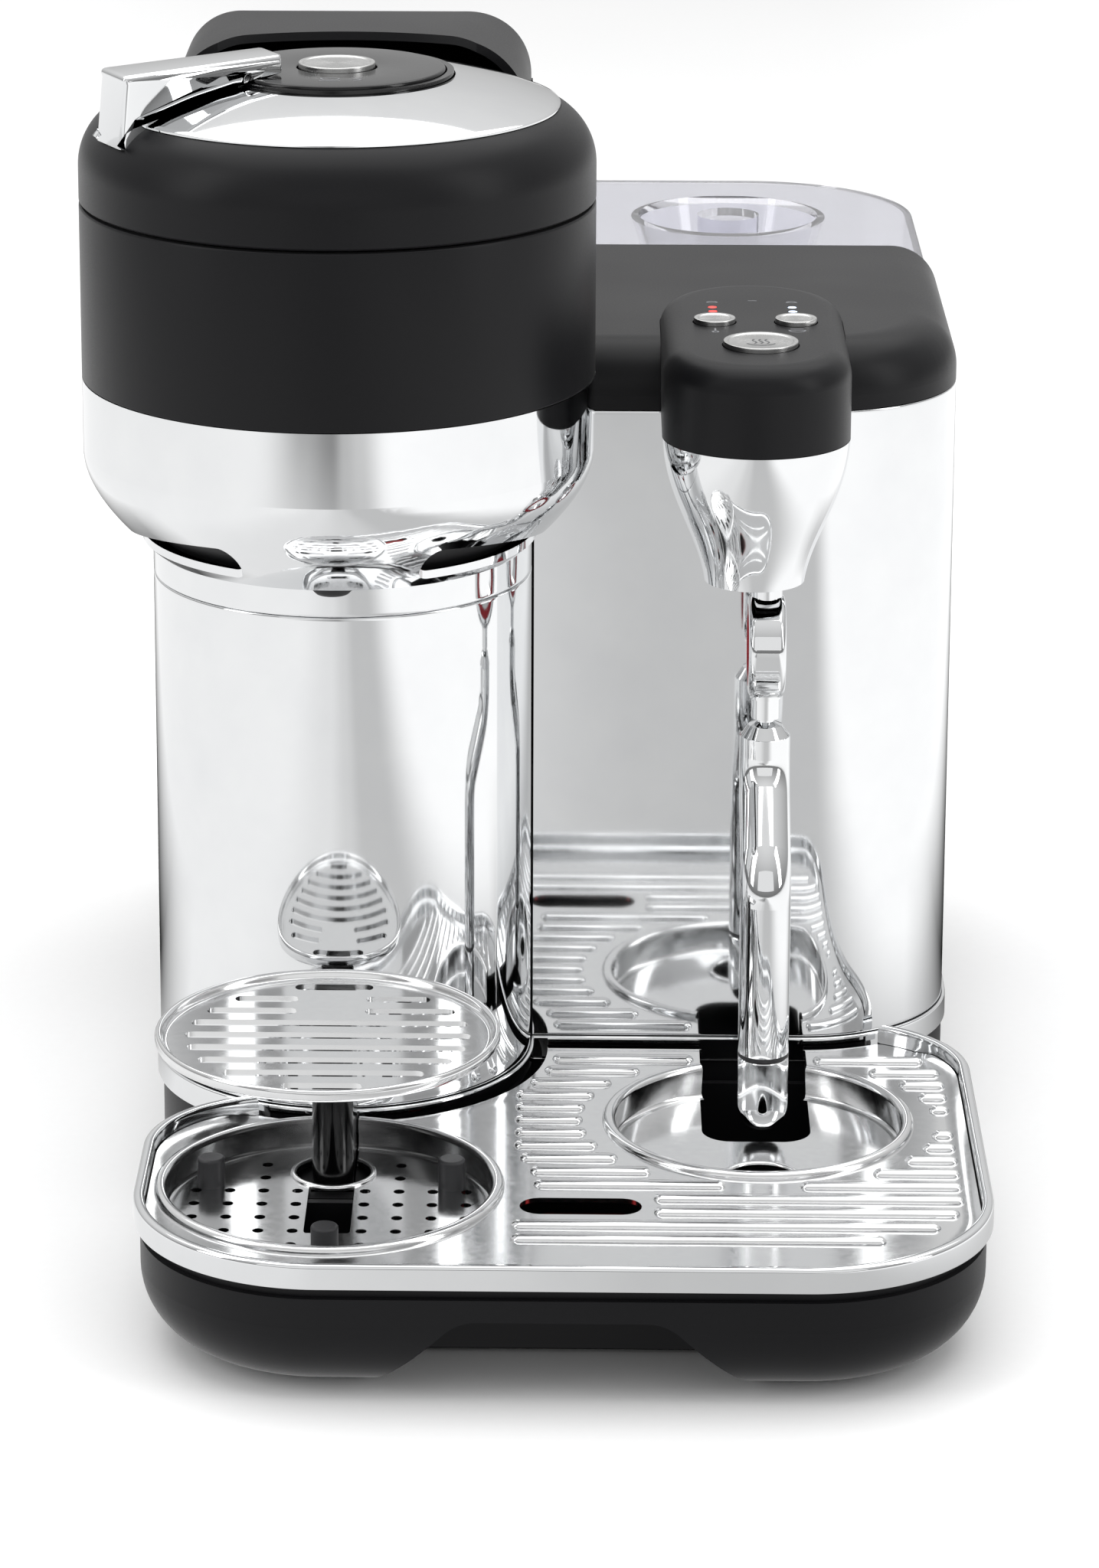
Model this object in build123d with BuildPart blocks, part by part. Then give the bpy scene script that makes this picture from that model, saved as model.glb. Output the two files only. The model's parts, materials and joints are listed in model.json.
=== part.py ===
from build123d import *
from math import asin, atan2, cos, degrees, hypot, radians, sin, sqrt
import os

# Pod coffee machine with a milk frothing wand.  Sizes are in millimetres.
# Frame: the origin is on the counter, under the middle of the machine's box;
# +X is to the user's right, +Y is to the back and +Z is up.

# ---------------------------------------------------------------- dimensions

# Round brewing head: bowl, band and lid share one vertical axis.
HEAD_X, HEAD_Y = -52.3, -59.0
HEAD_R = 69.0
BOWL_Z = 187.0
BOWL_FOOT_R = 50.8
BOWL_CURVE_TOP_Z = 214.0
BAND_Z = 234.0
LID_Z = 281.9
SEAM = 0.4
SHEET = 1.6
WALL = 2.4

# Lid: straight skirt, rounded shoulder, shallow dome, flat control disc.
SHOULDER_R = 17.0
SHOULDER_Z = 291.5
DOME_R = 59.4
DOME_EDGE_Z = 307.7
DOME_INNER_R = 31.5
DOME_INNER_Z = 315.3
DISC_R = 28.9
DISC_Z = 314.7
DISC_TOP_Z = 317.0

# Rear hinge of the lid.
HINGE_Y, HINGE_Z = 41.0, 290.0
BARREL_R = 24.0
COVER_LEFT, COVER_RIGHT = -102.0, -2.0
PIN_R = 3.0

# Locking lever on the lid.
LEVER_ANGLE = 28.5
LEVER_INNER_R, LEVER_OUTER_R = 18.0, 66.2
LEVER_TOP_INNER_Z, LEVER_TOP_OUTER_Z = 322.9, 321.0
LEVER_WIDTH = 16.0
LEVER_RING_TOP_Z = 316.2

# Column that carries the head, and its foot.
COLUMN_X, COLUMN_Y = -52.3, -43.0
COLUMN_R = 51.9
COLUMN_BACK = 67.0
COLUMN_Z, COLUMN_TOP_Z = 36.0, 175.0

# Body beside the column.
BODY_LEFT, BODY_RIGHT = 0.2, 118.0
BODY_FRONT, BODY_BACK = -38.0, 91.0
BODY_CORNER_R = 42.0
BODY_CORNER_X, BODY_CORNER_Y = 76.0, 4.0
FOOT_BAND = 1.0
BODY_TOP_Z = 217.8
CAP_TOP_Z = 236.0
CAP_EDGE_R = 14.0

# Frothing pod in front of the body.
POD_X, POD_Y = 60.0, -64.7
POD_R = 25.3
POD_BACK_Y = -8.3
POD_Z, POD_TOP_Z = 218.0, 242.0
BELL_MOUTH_R, BELL_MOUTH_Z = 13.5, 178.0
BUTTON_LIFT = 1.4

# Frothing wand, hung from a ball joint in the bell.
WAND_X, WAND_Y, WAND_Z = 63.5, -65.0, 182.0
WAND_R = 6.9
WAND_FRONT_Y = -87.0
HOOP_Z = 159.4
HOOP_R, HOOP_BORE_R = 14.3, 8.5

# Drip tray in front of the column and the body.
TRAY_LEFT, TRAY_RIGHT = -102.6, 121.3
TRAY_FRONT, TRAY_BACK = -209.0, -39.6
TRAY_CORNER_R = 50.0
TRAY_REAR_R = 36.0
TRAY_REAR_LEFT_Y, TRAY_REAR_RIGHT_Y = -127.5, -68.0
COVE_R = 53.5
TRAY_Z, TRAY_RIM_Z = 0.8, 29.0
TRIM_Z, TRIM_TOP_Z = 32.0, 39.0
TRIM_T = 3.0
COVER_Z, COVER_TOP_Z = 33.2, 34.4

# Two round recesses pressed into the cover.
CUP_Y = -144.0
CUP_RECESS_R, CUP_FLOOR_Z = 43.0, 27.0
MILK_X, MILK_Y = 62.0, -96.0
MILK_RECESS_R, MILK_FLOOR_Z = 39.0, 26.0
RIB_PITCH = 9.1
RIB_WIDTH = 4.6
RIB_HEIGHT = 1.5

# Raised cup support.
POST_WIDTH = 11.0
POST_FRONT, POST_BACK = -127.0, -97.2
DISC_SUPPORT_R = 45.2
DISC_SUPPORT_Z, DISC_SUPPORT_TOP_Z = 74.4, 78.0

# Water tank and used-capsule container at the back.
TANK_LEFT, TANK_RIGHT = 2.0, 114.5
TANK_FRONT, TANK_BACK = 93.0, 209.0
TANK_Z, TANK_TOP_Z = 38.0, 228.0
TANK_CORNER_R = 50.0
LID_CUP_X, LID_CUP_Y, LID_CUP_R = 57.7, 157.5, 29.8
BIN_LEFT, BIN_RIGHT = -102.0, -2.0
BIN_FRONT, BIN_BACK = 70.0, 206.0

# Chassis under everything behind the tray.
CHASSIS_Z, CHASSIS_TOP_Z = 4.0, 36.0
CHASSIS_R = 51.3
FOOT_H = 4.0

HEAD_PLANE = Plane(origin=(HEAD_X, HEAD_Y, 0), x_dir=(1, 0, 0), z_dir=(0, -1, 0))
HEAD_AXIS = Axis((HEAD_X, HEAD_Y, 0), (0, 0, 1))
POD_PLANE = Plane(origin=(POD_X, POD_Y, 0), x_dir=(1, 0, 0), z_dir=(0, -1, 0))
POD_AXIS = Axis((POD_X, POD_Y, 0), (0, 0, 1))
WAND_PLANE = Plane(origin=(WAND_X, WAND_Y, 0), x_dir=(1, 0, 0), z_dir=(0, -1, 0))
WAND_AXIS = Axis((WAND_X, WAND_Y, 0), (0, 0, 1))
SIDE_PLANE = Plane(origin=(0, 0, 0), x_dir=(0, 1, 0), z_dir=(1, 0, 0))

os.makedirs("parts", exist_ok=True)


# ------------------------------------------------------------------- outlines

def slab(x_low, x_high, y_low, y_high, z, corner_radii=(0, 0, 0, 0)):
    """Rectangle at height z.  The radii go front left, front right, back right, back left."""
    corners = [(x_low, y_low), (x_high, y_low), (x_high, y_high), (x_low, y_high)]
    with BuildSketch(Plane.XY.offset(z)) as outline:
        with Locations(((x_low + x_high) / 2, (y_low + y_high) / 2)):
            Rectangle(x_high - x_low, y_high - y_low)
        for corner, radius in zip(corners, corner_radii):
            if radius > 0:
                fillet(outline.vertices().sort_by_distance((*corner, 0))[0], radius)
    return outline.sketch


def disc(x, y, radius, z):
    """Full circle at height z."""
    with BuildSketch(Plane.XY.offset(z)) as outline:
        with Locations((x, y)):
            Circle(radius)
    return outline.sketch


def column_outline(radius, back_y, z):
    """U shape of the column: a half circle in front, straight sides to the back."""
    with BuildSketch(Plane.XY.offset(z)) as outline:
        with Locations((COLUMN_X, COLUMN_Y)):
            Circle(radius)
        with Locations((COLUMN_X, (COLUMN_Y + back_y) / 2)):
            Rectangle(2 * radius, back_y - COLUMN_Y)
    return outline.sketch


def body_outline(inset, z, left=BODY_LEFT, back=BODY_BACK):
    """Body in plan: one large rounded corner at the front right."""
    radii = (0, BODY_CORNER_R - inset, 0, 0)
    return slab(left, BODY_RIGHT - inset, BODY_FRONT + inset, back, z, radii)


def tank_outline(inset, z):
    """Tank in plan, with its large rear corner on the outside of the machine."""
    radii = (4 - inset / 2, 4 - inset / 2, TANK_CORNER_R - inset, 10 - inset)
    edges = (TANK_LEFT + inset, TANK_RIGHT - inset, TANK_FRONT + inset, TANK_BACK - inset)
    return slab(*edges, z, radii)


def pod_outline(inset, z):
    """Stadium of the pod in plan, from the body forwards."""
    with BuildSketch(Plane.XY.offset(z)) as outline:
        with Locations((POD_X, (POD_Y + POD_BACK_Y) / 2)):
            SlotCenterToCenter(POD_BACK_Y - POD_Y, 2 * (POD_R - inset), rotation=90)
    return outline.sketch


def meeting_point(centre_a, radius_a, centre_b, radius_b, side):
    """Point where two circles cross; side picks the one to the left (1) or right (-1) of a to b."""
    across_x = centre_b[0] - centre_a[0]
    across_y = centre_b[1] - centre_a[1]
    distance = hypot(across_x, across_y)
    along = (radius_a ** 2 - radius_b ** 2 + distance ** 2) / (2 * distance)
    aside = side * sqrt(radius_a ** 2 - along ** 2)
    unit_x = across_x / distance
    unit_y = across_y / distance
    return (centre_a[0] + along * unit_x - aside * unit_y, centre_a[1] + along * unit_y + aside * unit_x)


def bearing(centre, point):
    """Angle of a point seen from a centre, in degrees."""
    return degrees(atan2(point[1] - centre[1], point[0] - centre[0]))


def tray_outline(inset, z):
    """Tray in plan: four rounded corners, with coves round the column's foot and the body's."""
    left, right = TRAY_LEFT + inset, TRAY_RIGHT - inset
    front, back = TRAY_FRONT + inset, TRAY_BACK - inset
    corner, rear = TRAY_CORNER_R - inset, TRAY_REAR_R - inset
    cove_r = COVE_R + inset
    body_r = BODY_CORNER_Y - TRAY_BACK + inset
    column = (COLUMN_X, COLUMN_Y)
    body = (BODY_CORNER_X, BODY_CORNER_Y)
    front_left = (left + corner, front + corner)
    front_right = (right - corner, front + corner)
    rear_right = (right - rear, TRAY_REAR_RIGHT_Y)
    rear_left = (left + rear, TRAY_REAR_LEFT_Y)
    right_tip = meeting_point(rear_right, rear, body, body_r, -1)
    left_tip = meeting_point(rear_left, rear, column, cove_r, 1)
    cove_start = degrees(asin((back - COLUMN_Y) / cove_r))
    tip_bearing = bearing(column, left_tip)
    body_bearing = bearing(body, right_tip)
    with BuildSketch(Plane.XY.offset(z)) as outline:
        with BuildLine():
            Line((left, rear_left[1]), (left, front_left[1]))
            CenterArc(front_left, corner, 180, 90)
            Line((front_left[0], front), (front_right[0], front))
            CenterArc(front_right, corner, 270, 90)
            Line((right, front_right[1]), (right, rear_right[1]))
            CenterArc(rear_right, rear, 0, bearing(rear_right, right_tip))
            CenterArc(body, body_r, body_bearing, -90 - body_bearing)
            cove = CenterArc(column, cove_r, cove_start, tip_bearing - cove_start)
            Line((BODY_CORNER_X, back), cove @ 0)
            CenterArc(rear_left, rear, bearing(rear_left, left_tip), 180 - bearing(rear_left, left_tip))
        make_face()
    return outline.sketch


def chassis_outline(inset, z):
    """Chassis in plan: column foot, body foot and the deck under tank and container."""
    with BuildSketch(Plane.XY.offset(z)) as outline:
        add(column_outline(CHASSIS_R, COLUMN_BACK, 0))
        add(slab(-20, BODY_RIGHT, BODY_FRONT, BODY_BACK + 20, 0, (0, BODY_CORNER_R, 0, 0)))
        add(slab(COLUMN_X - CHASSIS_R, BODY_RIGHT, 60, TANK_BACK, 0, (0, 0, TANK_CORNER_R, 14)))
        if inset > 0:
            offset(amount=-inset)
    return outline.sketch


def bowl_curve(grow):
    """Bowl's outside from the foot to the straight rim, grown by a small distance."""
    foot = (BOWL_FOOT_R + grow, BOWL_Z)
    lower = (60.8 + grow, 196.0 - 0.6 * grow)
    upper = (HEAD_R + grow, 205.0 - 0.3 * grow)
    top = (HEAD_R + grow, BOWL_CURVE_TOP_Z)
    return foot, lower, upper, top


def head_space(gap):
    """Space that the bowl, band and lid fill, grown by a gap, for cutting neighbours."""
    top_z = LEVER_TOP_INNER_Z + 10
    with BuildPart() as space:
        with BuildSketch(HEAD_PLANE):
            with BuildLine():
                curve = bowl_curve(gap)
                Line((0, BOWL_Z), curve[0])
                Bezier(*curve)
                Polyline(curve[3], (HEAD_R + gap, top_z), (0, top_z), (0, BOWL_Z))
            make_face()
        revolve(axis=HEAD_AXIS)
    return space.part


def hinge_cover_form(inset):
    """Barrel and its forward web: a side view crossed with a round-shouldered front view."""
    radius = BARREL_R - inset
    half_width = (COVER_RIGHT - COVER_LEFT) / 2 - inset
    middle_x = (COVER_LEFT + COVER_RIGHT) / 2
    with BuildPart() as form:
        with BuildSketch(SIDE_PLANE.offset(COVER_LEFT + inset)):
            with Locations((HINGE_Y, HINGE_Z)):
                Circle(radius)
            with Locations((HINGE_Y / 2, (LID_Z + 1.2 + HINGE_Z + radius) / 2)):
                Rectangle(HINGE_Y, HINGE_Z + radius - LID_Z - 1.2)
        extrude(amount=2 * half_width)
        with BuildSketch(Plane.XZ.offset(10)) as front:
            with Locations((middle_x, HINGE_Z)):
                Rectangle(2 * half_width, 2 * radius)
            fillet(front.vertices().group_by(Axis.Y)[-1], radius - 2)
            fillet(front.vertices().group_by(Axis.Y)[0], 6)
        extrude(amount=-100, mode=Mode.INTERSECT)
    return form.part


def push_button(x, y, top_z, radius):
    """Button with a dished top, a retaining flange and a stem towards its switch."""
    plane = Plane(origin=(x, y, 0), x_dir=(1, 0, 0), z_dir=(0, -1, 0))
    flange_r = radius + 1.2
    with BuildPart() as button:
        with BuildSketch(plane):
            with BuildLine():
                Polyline((0, top_z - 13), (2, top_z - 13), (2, top_z - 6), (flange_r, top_z - 6),
                         (flange_r, top_z - 4.6), (radius, top_z - 4.6), (radius, top_z - 0.5),
                         (radius - 0.5, top_z), (radius - 1.2, top_z - 0.4), (0, top_z - 0.4),
                         close=True)
            make_face()
        revolve(axis=Axis((x, y, 0), (0, 0, 1)))
    return button


# -------------------------------------------------------------------- chassis

with BuildPart() as base_chassis:
    extrude(chassis_outline(0, CHASSIS_Z), amount=CHASSIS_TOP_Z - CHASSIS_Z)
    extrude(chassis_outline(3, CHASSIS_Z), amount=CHASSIS_TOP_Z - CHASSIS_Z - 3, mode=Mode.SUBTRACT)
    # Services rise into the column and the body through these two openings.
    extrude(disc(COLUMN_X, 20, 15, CHASSIS_TOP_Z - 3), amount=3, mode=Mode.SUBTRACT)
    extrude(disc(60, 30, 15, CHASSIS_TOP_Z - 3), amount=3, mode=Mode.SUBTRACT)
    # Bore of the mains inlet in the rear wall.
    with BuildSketch(Plane.XZ.offset(-TANK_BACK)):
        with Locations((-60, 18)):
            Circle(6)
    extrude(amount=4, mode=Mode.SUBTRACT)

with BuildPart() as base_plate:
    extrude(chassis_outline(3.2, CHASSIS_Z), amount=2.4)

FOOT_SPOTS = [(-85, -45), (-20, -45), (98, 8), (-90, 190), (60, 192)]

with BuildPart() as rubber_feet:
    with BuildSketch():
        with Locations(*FOOT_SPOTS):
            Circle(9)
    extrude(amount=FOOT_H)
    fillet(rubber_feet.edges().group_by(Axis.Z)[0], 1)

SCREW_SPOTS = [(-85, 40), (20, -20), (104, 80), (-20, 196), (-92, 120)]

with BuildPart() as base_screws:
    # Heads sit against the plate's underside, shanks run up into the chassis.
    with Locations(*[(x, y, CHASSIS_Z - 2.2) for x, y in SCREW_SPOTS]):
        Cylinder(3.4, 2.2, align=(Align.CENTER, Align.CENTER, Align.MIN))

with BuildPart() as foot_ring:
    # Bright band round the foot of the column and of the body.
    band_z = COLUMN_Z - 7
    band_height = 6.9
    extrude(column_outline(COLUMN_R + FOOT_BAND, COLUMN_BACK, band_z), amount=band_height)
    extrude(body_outline(-FOOT_BAND, band_z, -10), amount=band_height)
    extrude(column_outline(CHASSIS_R + 0.05, 200, band_z), amount=band_height, mode=Mode.SUBTRACT)
    extrude(body_outline(-0.05, band_z, -40, 200), amount=band_height, mode=Mode.SUBTRACT)

with BuildPart() as cord_gland:
    with BuildSketch(Plane.XZ.offset(-TANK_BACK + 6)):
        with Locations((-60, 18)):
            Circle(5.9)
            Circle(3.6, mode=Mode.SUBTRACT)
    extrude(amount=-6)
    with BuildSketch(Plane.XZ.offset(-TANK_BACK + 6)):
        with Locations((-60, 18)):
            Circle(8)
            Circle(3.6, mode=Mode.SUBTRACT)
    extrude(amount=3)

with BuildPart() as control_board:
    extrude(slab(-30, 70, 100, 170, 12), amount=1.6)
    extrude(slab(-25, 0, 110, 140, 13.6), amount=15)
    extrude(slab(20, 44, 110, 130, 13.6), amount=11)
    with Locations((15, 155, 13.6), (35, 150, 13.6)):
        Cylinder(7, 17, align=(Align.CENTER, Align.CENTER, Align.MIN))

# --------------------------------------------------------------------- column

with BuildPart() as column_shell:
    column_height = COLUMN_TOP_Z - COLUMN_Z
    extrude(column_outline(COLUMN_R, COLUMN_BACK, COLUMN_Z), amount=column_height)
    extrude(column_outline(COLUMN_R - SHEET, COLUMN_BACK + 5, COLUMN_Z), amount=column_height,
            mode=Mode.SUBTRACT)

with BuildPart() as neck_collar:
    neck_height = BOWL_Z - COLUMN_TOP_Z - 0.1
    extrude(column_outline(COLUMN_R, COLUMN_BACK, COLUMN_TOP_Z + 0.1), amount=neck_height)
    extrude(column_outline(COLUMN_R - SHEET, COLUMN_BACK + 5, COLUMN_TOP_Z + 0.1),
            amount=neck_height, mode=Mode.SUBTRACT)

with BuildPart() as thermoblock:
    extrude(slab(-82, -22, -8, 30, 60), amount=80)
    fillet(thermoblock.edges().filter_by(Axis.Z), 6)
    with Locations((-70, 11, 140), (-34, 11, 140)):
        Cylinder(4, 12, align=(Align.CENTER, Align.CENTER, Align.MIN))

# ----------------------------------------------------------------------- head

SPOUT_Y = -102.9
SPOUT_R = 5.2

with BuildPart() as bowl:
    with BuildSketch(HEAD_PLANE):
        with BuildLine():
            outer = bowl_curve(0)
            inner = [(67.4, BOWL_CURVE_TOP_Z), (67.4, 205.7), (59.7, 197.3), (50.2, BOWL_Z + SHEET)]
            Line((0, BOWL_Z), outer[0])
            Bezier(*outer)
            Polyline(outer[3], (HEAD_R, BAND_Z), (HEAD_R - SHEET, BAND_Z), inner[0])
            Bezier(*inner)
            Polyline(inner[3], (0, BOWL_Z + SHEET), (0, BOWL_Z))
        make_face()
    revolve(axis=HEAD_AXIS)
    # Coffee outlet in front, services from the column behind.
    extrude(disc(HEAD_X, SPOUT_Y, SPOUT_R + 0.1, BOWL_Z), amount=SHEET, mode=Mode.SUBTRACT)
    extrude(disc(HEAD_X, -25, 12, BOWL_Z), amount=SHEET, mode=Mode.SUBTRACT)
    # Two crescent vents under the curve, widest near the front and closing towards the sides.
    for side in (-1, 1):
        lead = radians(15)
        first = radians(24)
        last = radians(98)
        reach = 90
        with BuildSketch(Plane.XY.offset(BOWL_Z + 2)) as vent:
            with Locations((HEAD_X + side * 9.6 * sin(lead), HEAD_Y - 9.6 * cos(lead))):
                Circle(53.7)
            with Locations((HEAD_X, HEAD_Y)):
                Circle(53.4, mode=Mode.SUBTRACT)
            with BuildLine():
                start = (HEAD_X + side * reach * sin(first), HEAD_Y - reach * cos(first))
                end = (HEAD_X + side * reach * sin(last), HEAD_Y - reach * cos(last))
                corner = (HEAD_X + side * 2 * reach, HEAD_Y - 2 * reach)
                Polyline((HEAD_X, HEAD_Y), start, corner, end, (HEAD_X, HEAD_Y))
            make_face(mode=Mode.INTERSECT)
            blunt_end = (HEAD_X + side * 58 * sin(first), HEAD_Y - 58 * cos(first), BOWL_Z + 2)
            fillet(vent.vertices().sort_by_distance(blunt_end)[:2], 4.2)
        extrude(amount=14, mode=Mode.SUBTRACT)

with BuildPart() as bowl_liner:
    with BuildSketch(HEAD_PLANE):
        with BuildLine():
            liner_outer = [(48.6, BOWL_Z + 3.4), (57.6, 199.2), (64.6, 207), (64.6, BOWL_CURVE_TOP_Z)]
            liner_inner = [(63.2, BOWL_CURVE_TOP_Z), (63.2, 208), (56.6, 200.4), (48, BOWL_Z + 4.9)]
            Bezier(*liner_outer)
            Polyline(liner_outer[3], (64.6, 232), (63.2, 232), liner_inner[0])
            Bezier(*liner_inner)
            Line(liner_inner[3], liner_outer[0])
        make_face()
    revolve(axis=HEAD_AXIS)
    extrude(disc(HEAD_X, SPOUT_Y, SPOUT_R + 2, BOWL_Z), amount=12, mode=Mode.SUBTRACT)

with BuildPart() as head_band:
    extrude(disc(HEAD_X, HEAD_Y, HEAD_R, BAND_Z + 0.1), amount=LID_Z - BAND_Z - SEAM - 0.1)
    extrude(disc(HEAD_X, HEAD_Y, HEAD_R - WALL, BAND_Z), amount=LID_Z - BAND_Z, mode=Mode.SUBTRACT)
    chamfer(head_band.faces().sort_by(Axis.Z)[-1].edges().sort_by(SortBy.RADIUS)[-1], 0.4)

WELL_R = 46.0
WELL_FLOOR_Z = 236.0
DECK_Z = 277.0

with BuildPart() as brew_deck:
    # Deck plate with a well for the spinning capsule holder.
    with BuildSketch(HEAD_PLANE):
        with BuildLine():
            Polyline((5, WELL_FLOOR_Z - 3), (WELL_R + WALL, WELL_FLOOR_Z - 3),
                     (WELL_R + WALL, DECK_Z - 3), (HEAD_R - WALL - 0.1, DECK_Z - 3),
                     (HEAD_R - WALL - 0.1, DECK_Z), (WELL_R, DECK_Z), (WELL_R, WELL_FLOOR_Z),
                     (5, WELL_FLOOR_Z), close=True)
        make_face()
    revolve(axis=HEAD_AXIS)
    extrude(disc(HEAD_X, SPOUT_Y + 4, 3.2, WELL_FLOOR_Z - 3), amount=3, mode=Mode.SUBTRACT)

with BuildPart() as coffee_spout:
    # Straight drain from the well's floor down through the bowl.
    extrude(disc(HEAD_X, SPOUT_Y, SPOUT_R, BOWL_Z - 2.5), amount=WELL_FLOOR_Z - 3 - BOWL_Z + 2.5)
    extrude(disc(HEAD_X, SPOUT_Y, SPOUT_R - 2, BOWL_Z - 2.5), amount=WELL_FLOOR_Z - BOWL_Z,
            mode=Mode.SUBTRACT)
    chamfer(coffee_spout.edges().group_by(Axis.Z)[0].sort_by(SortBy.RADIUS)[-1], 0.8)

with BuildPart() as spin_motor:
    extrude(disc(HEAD_X, HEAD_Y, 21, 194), amount=WELL_FLOOR_Z - 3 - 194)
    fillet(spin_motor.edges().group_by(Axis.Z)[0], 3)
    extrude(disc(HEAD_X, HEAD_Y, 3.4, 222), amount=20, mode=Mode.SUBTRACT)

with BuildPart() as rotor_shaft:
    extrude(disc(HEAD_X, HEAD_Y, 3.0, 222.5), amount=18)

with BuildPart() as capsule_holder:
    # Cup that grips the capsule's flange and spins with it.
    with BuildSketch(HEAD_PLANE):
        with BuildLine():
            Polyline((0, 240.5), (30, 240.5), (37, 247), (37, 261), (31, 261), (31, 257),
                     (27.5, 257), (22, 244), (0, 244), close=True)
        make_face()
    revolve(axis=HEAD_AXIS)

# ----------------------------------------------------------------- rear tower

tower_cut = head_space(0.6)

with BuildPart() as rear_tower:
    extrude(slab(-103, -1.6, -17, 68, BOWL_Z + 0.2), amount=282 - BOWL_Z - 0.2)
    add(tower_cut, mode=Mode.SUBTRACT)
    # Trough that the barrel of the lid's hinge turns in.
    with BuildSketch(SIDE_PLANE.offset(-110)):
        with Locations((HINGE_Y, HINGE_Z)):
            Circle(BARREL_R + 0.6)
    extrude(amount=120, mode=Mode.SUBTRACT)
    # Rear wall that hides the open underside of the barrel.
    extrude(slab(-103, -1.6, HINGE_Y + BARREL_R + 0.8, 69, 240), amount=HINGE_Z - 240)
    # Hollow inside, for the hoses and the wires that rise to the head.
    extrude(slab(-99, -5.6, 15, 64, BOWL_Z + 0.2), amount=60, mode=Mode.SUBTRACT)
    # Lugs that hold the hinge pin, inside the barrel.
    for lug_x in (-84, -28):
        with BuildSketch(SIDE_PLANE.offset(lug_x)):
            with Locations((HINGE_Y, HINGE_Z)):
                Circle(5)
            with Locations((HINGE_Y, (HINGE_Z + 260) / 2)):
                Rectangle(10, HINGE_Z - 260)
            with Locations((HINGE_Y, HINGE_Z)):
                Circle(PIN_R, mode=Mode.SUBTRACT)
        extrude(amount=8)

with BuildPart() as hinge_pin:
    with BuildSketch(SIDE_PLANE.offset(-98)):
        with Locations((HINGE_Y, HINGE_Z)):
            Circle(PIN_R)
    extrude(amount=92)

# ------------------------------------------------------------------------ lid

lid_cut = head_space(0)
cover_inside = hinge_cover_form(WALL)

with BuildPart() as hinge_cover:
    add(hinge_cover_form(0))
    add(cover_inside, mode=Mode.SUBTRACT)
    add(lid_cut, mode=Mode.SUBTRACT)
    # Open underneath and behind, so that the lugs of the tower reach the pin.
    with Locations(((COVER_LEFT + COVER_RIGHT) / 2, 45, 276)):
        Box(COVER_RIGHT - COVER_LEFT - 2 * WALL, 50, 28, mode=Mode.SUBTRACT)
    # Bearing bosses on the side walls.
    for wall_x, length in ((COVER_LEFT + WALL, 12), (COVER_RIGHT - WALL, -12)):
        with BuildSketch(SIDE_PLANE.offset(wall_x)):
            with Locations((HINGE_Y, HINGE_Z)):
                Circle(6)
        extrude(amount=length)
    with BuildSketch(SIDE_PLANE.offset(-99)):
        with Locations((HINGE_Y, HINGE_Z)):
            Circle(PIN_R + 0.05)
    extrude(amount=94, mode=Mode.SUBTRACT)

with BuildPart() as lid_shell:
    with BuildSketch(HEAD_PLANE):
        with BuildLine():
            centre_r = HEAD_R - SHOULDER_R
            inner_shoulder = SHOULDER_R - WALL
            outer_end = (DOME_R + 0.1, SHOULDER_Z + SHOULDER_R * sin(radians(63.9)))
            Line((HEAD_R, LID_Z), (HEAD_R, SHOULDER_Z))
            CenterArc((centre_r, SHOULDER_Z), SHOULDER_R, 0, 63.8)
            arc_end = (centre_r + SHOULDER_R * cos(radians(63.8)),
                       SHOULDER_Z + SHOULDER_R * sin(radians(63.8)))
            inner_end = (centre_r + inner_shoulder * cos(radians(74)),
                         SHOULDER_Z + inner_shoulder * sin(radians(74)))
            Polyline(arc_end, (arc_end[0], DOME_EDGE_Z - 1.2), (DOME_INNER_R + 1.5, DOME_INNER_Z - 1.5),
                     (DOME_INNER_R + 1.5, DOME_INNER_Z - 3.5), inner_end)
            CenterArc((centre_r, SHOULDER_Z), inner_shoulder, 74, -74)
            Polyline((HEAD_R - WALL, SHOULDER_Z), (HEAD_R - WALL, LID_Z), (HEAD_R, LID_Z))
        make_face()
    revolve(axis=HEAD_AXIS)

with BuildPart() as lid_dome:
    with BuildSketch(HEAD_PLANE):
        with BuildLine():
            middle_r = (DOME_R + DOME_INNER_R) / 2
            middle_z = (DOME_EDGE_Z + DOME_INNER_Z) / 2 + 0.8
            ThreePointArc((DOME_R, DOME_EDGE_Z), (middle_r, middle_z), (DOME_INNER_R, DOME_INNER_Z))
            Line((DOME_INNER_R, DOME_INNER_Z), (DOME_INNER_R, DOME_INNER_Z - 1))
            ThreePointArc((DOME_INNER_R, DOME_INNER_Z - 1), (middle_r, middle_z - 1),
                          (DOME_R, DOME_EDGE_Z - 1))
            Line((DOME_R, DOME_EDGE_Z - 1), (DOME_R, DOME_EDGE_Z))
        make_face()
    revolve(axis=HEAD_AXIS)

with BuildPart() as lid_liner:
    # Underside of the lid, with the boss that carries the control disc.
    with BuildSketch(HEAD_PLANE):
        with BuildLine():
            liner_r = HEAD_R - WALL - 0.1
            Polyline((0, 284.5), (liner_r, 284.5), (liner_r, 287.5), (27, 287.5), (27, DISC_Z),
                     (12.6, DISC_Z), (12.6, 290), (0, 290), close=True)
        make_face()
    revolve(axis=HEAD_AXIS)

with BuildPart() as brew_head:
    # Clamps the capsule, with the piercing needle in its middle.
    with BuildSketch(HEAD_PLANE):
        with BuildLine():
            Polyline((0, 255), (0.8, 255), (2.4, 262.5), (34, 262.5), (38, 266), (38, 284.4),
                     (0, 284.4), close=True)
        make_face()
    revolve(axis=HEAD_AXIS)

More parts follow.
